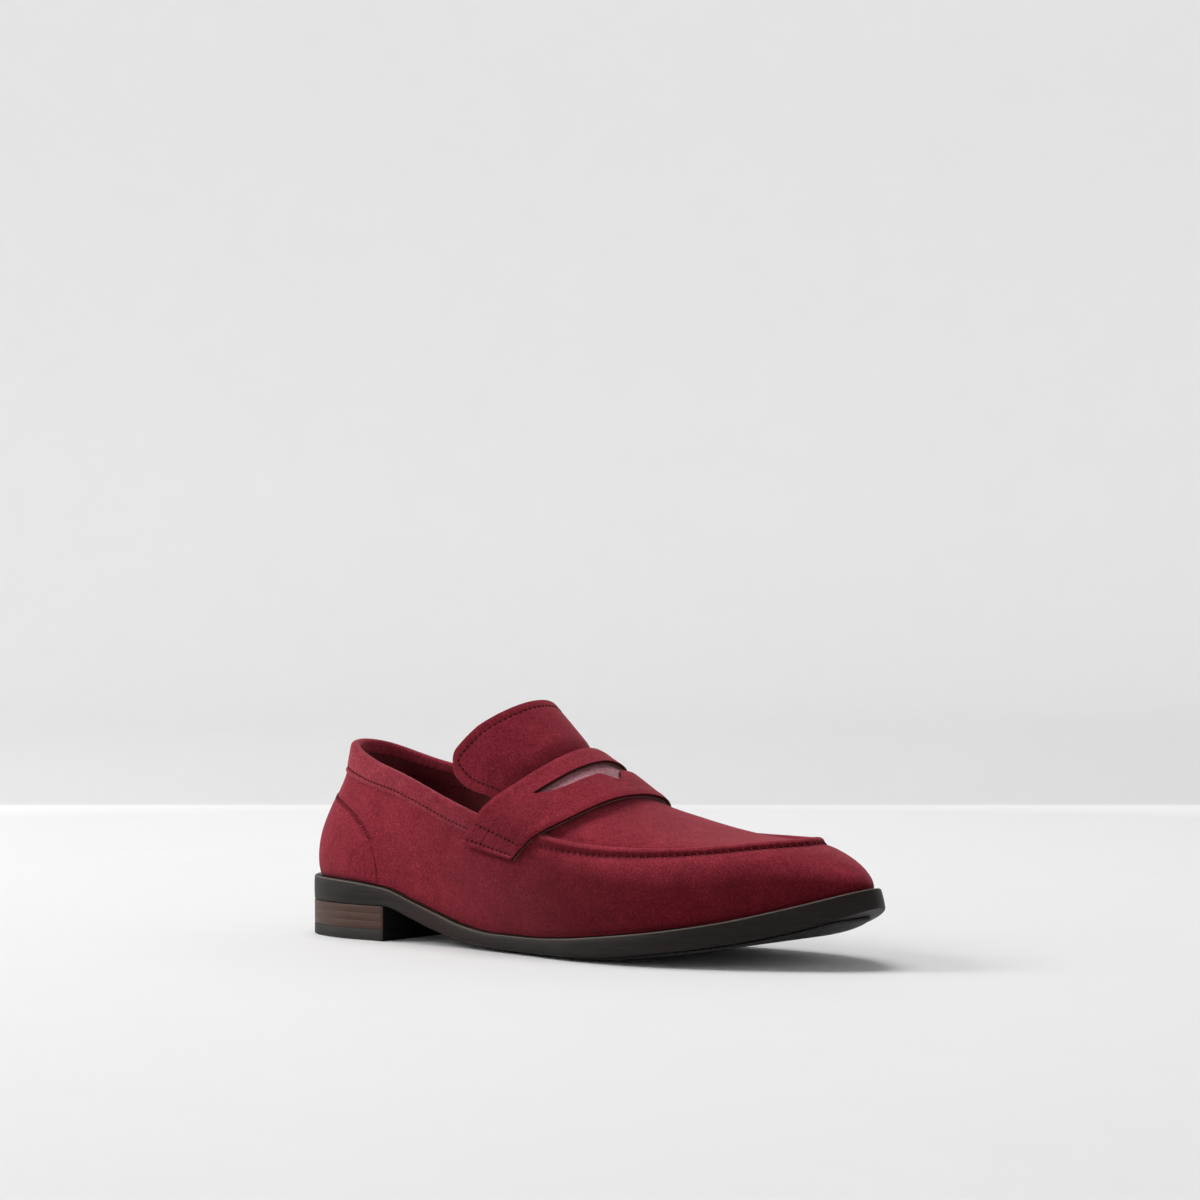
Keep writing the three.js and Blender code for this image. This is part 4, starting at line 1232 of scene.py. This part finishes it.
# The strap's bevelled edges carry a painted highlight; its cut walls are dark, partly painted shade.
strap_body("saddle_strap_visible", (0, STRAP["suede"]), [SUEDE_MAT, CUT_EDGE_AND_SHADE_MAT, HIGHLIGHT_RIM_MAT],
           "burgundy_suede", "saddle_strap", 0.0, 0.45)
strap_body("strap_backing_visible",
           (STRAP["suede"] + 0.02, STRAP["suede"] + GAP + STRAP["backing"]), [BACKING_MAT],
           "stacked_leather", "strap_backing", 0.008, 0.12, relief=False)


def make_underlay():
    depth = STRAP["suede"] + STRAP["backing"] + 2 * GAP

    def surface(a, b, offset):
        return strap_at(0.53 * (2 * a - 1), 0.16 + 0.6 * b, offset)

    obj = sheet_piece("penny_slot_underlay_visible", surface, (depth, depth + 0.8),
                      np.linspace(0, 1, 120), np.linspace(0, 1, 40), [PINK_MAT])
    finish_piece(obj, "pink_leather", "penny_slot_underlay")


make_underlay()

# ---------------------------------------------------------------- tongue


def tongue_relief(a, b):
    """A groove for the stitches and a soft edge outside it, fading out under the strap."""
    side = np.abs(2 * b - 1)
    to_edge = np.minimum((1 - a) * 44, (1 - side) * 40)
    seam = -0.22 * np.exp(-((to_edge - 3.5) / 0.55) ** 2) * smooth(0.3, 0.45, a)
    puff = 0.15 * np.exp(-((to_edge - 1.3) / 1.0) ** 2) * smooth(0.3, 0.45, a)
    return seam + puff + 0.22 * ripple(tongue_at(a, b), 34, 41)


def make_tongue():
    body = sheet_piece("tongue_visible", tongue_at, (0, SUEDE), edge_spaced(90, 0.5),
                       edge_spaced(130, 0.5), [SUEDE_MAT], wear=tongue_relief)
    # The tongue's bevelled edges carry a painted highlight.
    body.data.materials.append(HIGHLIGHT_RIM_MAT)
    bevel(body, 0.4, 3, material=1)
    lining = sheet_piece("tongue_lining_visible", tongue_at, (SUEDE + 0.05, SUEDE + GAP + LINING),
                         edge_spaced(50, 0.3), edge_spaced(80, 0.3), [LINING_MAT])

    def place(f):
        edge = 0.5 - abs(f - 0.5)
        a = min(0.33 + 2.4 * edge, 0.922)
        side = np.clip((f - 0.5) * 4, -1, 1) * 0.91
        at = (np.array([a]), np.array([0.5 + side / 2]))
        point = tongue_at(*at, 0.0)[0]
        normal = unit(tongue_at(*at, 1.0)[0] - point)
        return point + normal * 0.05, normal

    stitches = capsules("tongue_stitches", row_of_stitches(place, 0.02, 0.98, 2.6, 0.3), 0.42,
                        THREAD_MAT)
    for obj, slot, node in ((body, "burgundy_suede", "tongue"),
                            (lining, "burgundy_lining", "tongue_lining"),
                            (stitches, "thread", "tongue_stitching")):
        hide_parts(node)
        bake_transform(obj)


make_tongue()

# ---------------------------------------------------------------- stitches


def on_surface(surface, lift=0.05):
    """place(f) for a row of stitches on surface(f, offset)."""

    def place(f):
        point = surface(np.array([f]), 0.0)[0]
        normal = unit(surface(np.array([f]), 1.0)[0] - point)
        return point + normal * lift, normal

    return place


INSIDE = -3.3


def make_collar_stitches():
    def collar_seam(f, offset):
        u = (COLLAR["end"] + 0.1) * (2 * f - 1)
        deep = np.full_like(u, COLLAR["deep"] - 2.2)
        return collar_point(u, deep, COLLAR["outside"] - 0.55 + offset)

    collar = row_of_stitches(on_surface(collar_seam), 0, 1, 2.6, 0.26)
    obj = capsules("collar_stitches", collar, 0.45, THREAD_MAT)
    finish_piece(obj, "thread", "collar_stitching")


def make_inside_stitches():
    def inside_band(f, offset):
        u = 4.1 * (2 * f - 1)
        return collar_point(u, np.full_like(u, 9.5), INSIDE - offset)

    def inside_seam(f, offset):
        return collar_point(np.full_like(f, ROUND - 3.35), 5 + 32 * f, INSIDE - offset)

    inside = row_of_stitches(on_surface(inside_band), 0, 1, 2.6, 0.3)
    inside += row_of_stitches(on_surface(inside_seam), 0, 1, 2.6, 0.3)
    obj = capsules("inside_stitches", inside, 0.42, THREAD_MAT)
    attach(obj, "shoe")


def make_counter_crosses():
    """Crossed stitches along the counter's edge, two to each pitch."""
    def counter_seam(f, offset):
        a = 0.5 + np.arcsin(np.clip(2 * f - 1, -1, 1)) / math.pi
        return counter_surface(a, np.full_like(f, 0.995), 0.16 + offset)

    f = np.linspace(0.03, 0.97, 2400)
    steps = np.linalg.norm(np.diff(counter_seam(f, 0.0), axis=0), axis=1)
    run = np.concatenate([[0], np.cumsum(steps)])
    pitch, reach = 1.7, 1.05
    crosses = []
    for k in range(int(run[-1] / pitch)):
        ends = np.interp([(k + 0.12) * pitch, (k + 0.88) * pitch], run, f)
        for first, second in ((ends[0], ends[1]), (ends[1], ends[0])):
            middle = np.array([(first + second) / 2])
            p, q = (counter_seam(np.array([x]), 0.0)[0] for x in (first, second))
            centre = counter_seam(middle, 0.0)[0]
            normal = unit(counter_seam(middle, 1.0)[0] - centre)
            across = reach * np.cross(normal, unit(q - p))
            crosses.append((p - across + normal * 0.02, q + across + normal * 0.02, normal))
    obj = capsules("counter_cross_stitches", crosses, 0.27, SEAM_THREAD_MAT)
    finish_piece(obj, "thread", "counter_stitching")


def make_strap_stitches():
    for side, node in ((-1, "strap_stitching_outer"), (1, "strap_stitching_inner")):
        segments = []
        for row in STRAP_ROWS:
            place = on_surface(lambda f, o: strap_at(side * row + 0 * f, f, o), 0.0)
            segments += row_of_stitches(place, 0.05, 0.95, 2.7, 0.14)
        end = "outer" if side < 0 else "inner"
        obj = capsules(f"strap_stitches_{end}", segments, 0.58, THREAD_MAT)
        finish_piece(obj, "thread", node)


make_collar_stitches()
make_inside_stitches()
make_counter_crosses()
make_strap_stitches()

# ---------------------------------------------------------------- stage, lights and camera

PAN, TILT = math.radians(38), math.radians(0.8)
FOCAL = 3957.5
IMAGE = 1200
FORWARD = np.array([-math.sin(PAN) * math.cos(TILT), math.cos(PAN) * math.cos(TILT), -math.sin(TILT)])
RIGHT = np.array([math.cos(PAN), math.sin(PAN), 0])
OVER = np.cross(RIGHT, FORWARD)
AIM = np.array([150.0, 0, 20])
DISTANCE = 1724.0
SHIFT = np.array([-7.44, 302.28])
BACKDROP = 950.0


def lathe_floor():
    """A pale floor that curves up into a wall far away on every side."""
    flat, cove, tall = 2200, 700, 2600
    profile = [(0.0, 0.0), (400, 0), (1200, 0), (flat, 0)]
    for k in range(1, 17):
        turn = k * math.pi / 32
        profile.append((flat + cove * math.sin(turn), cove * (1 - math.cos(turn))))
    profile.append((flat + cove, tall))
    sides = 96
    points = [(r * math.cos(2 * math.pi * m / sides), r * math.sin(2 * math.pi * m / sides), z)
              for m in range(sides) for r, z in profile]
    points, faces, _ = weld(np.array(points), grid_faces(sides, len(profile), 0, closed=True), 0.01)
    obj = make_object("studio_floor", points - ORIGIN, faces, [floor_material()])


def floor_material():
    """Pale paper, a shade darker beyond the line where the backdrop begins. It also gives off
    a little light towards the far side, to bring floor and wall up to the photo's tones."""
    paint = Paint("studio_paper", 0.85, Specular_IOR_Level=0.15)
    paper = paint.noise(60, 3)
    split = paint.node("ShaderNodeSeparateXYZ")
    paint.link(paint.place, split.inputs["Vector"])
    away = paint.math("ADD", paint.math("MULTIPLY", split.outputs["X"], float(FORWARD[0])),
                      paint.math("MULTIPLY", split.outputs["Y"], float(FORWARD[1])))
    beyond = paint.ramp(paint.math("SUBTRACT", away, BACKDROP * MM - 0.5),
                        [(0.49, grey(0)), (0.515, grey(1))])
    floor = paint.mix(paper, srgb(218, 218, 218), srgb(221, 221, 221))
    wall = paint.mix(paper, srgb(196, 196, 196), srgb(199, 199, 199))
    paint.color(paint.mix(beyond, floor, wall))
    paint.shader.inputs["Emission Color"].default_value = grey(1)
    radius = paint.math("SQRT", paint.math("ADD", paint.math("POWER", split.outputs["X"], 2.0),
                                           paint.math("POWER", split.outputs["Y"], 2.0)))
    far = paint.ramp(paint.math("MULTIPLY", radius, 1 / 3.0),
                     [(0.3, grey(0)), (0.33, grey(0.35)), (0.9, grey(1))])
    facing = paint.ramp(paint.math("DIVIDE", away, paint.math("ADD", radius, 0.01)),
                        [(0.35, grey(0.14)), (0.9, grey(0.215))])
    glow = paint.math("MULTIPLY", far, facing)
    paint.link(glow, paint.shader.inputs["Emission Strength"])
    return paint.material


def make_camera():
    data = bpy.data.cameras.new("camera")
    camera = bpy.data.objects.new("camera", data)
    bpy.context.scene.collection.objects.link(camera)
    data.sensor_width = 36
    data.lens = FOCAL / IMAGE * data.sensor_width
    place = AIM - DISTANCE * (FORWARD + SHIFT[0] / FOCAL * RIGHT - SHIFT[1] / FOCAL * OVER)
    data.clip_end = 50
    turn = Matrix(np.column_stack([RIGHT, OVER, -FORWARD]).tolist()).to_4x4()
    turn.translation = ((place + ORIGIN) * MM).tolist()
    camera.matrix_world = turn
    bpy.context.scene.camera = camera


def area_light(name, place, size, power):
    """A rectangle of white light aimed at the shoe."""
    data = bpy.data.lights.new(name, "AREA")
    data.shape = "RECTANGLE"
    data.size, data.size_y = size
    data.energy = power
    light = bpy.data.objects.new(name, data)
    light.location = place
    aim = Vector((0, 0, 0.03)) - Vector(place)
    light.rotation_euler = aim.to_track_quat("-Z", "Y").to_euler()
    bpy.context.scene.collection.objects.link(light)


def make_lights():
    world = bpy.data.worlds.new("studio")
    bpy.context.scene.world = world
    world.use_nodes = True
    background = world.node_tree.nodes["Background"]
    background.inputs["Color"].default_value = grey(1)
    background.inputs["Strength"].default_value = 0.12
    back = np.append(-FORWARD[:2], 0)
    left = -RIGHT
    area_light("key", tuple(left * 2.6 - back * 0.2 + UP * 1.8), (1.2, 1.2), 48)
    area_light("top", tuple(-back * 0.5 + left * 0.5 + UP * 3.0), (2.2, 1.8), 65)


lathe_floor()
make_lights()
make_camera()
bpy.context.scene.view_settings.view_transform = "Standard"
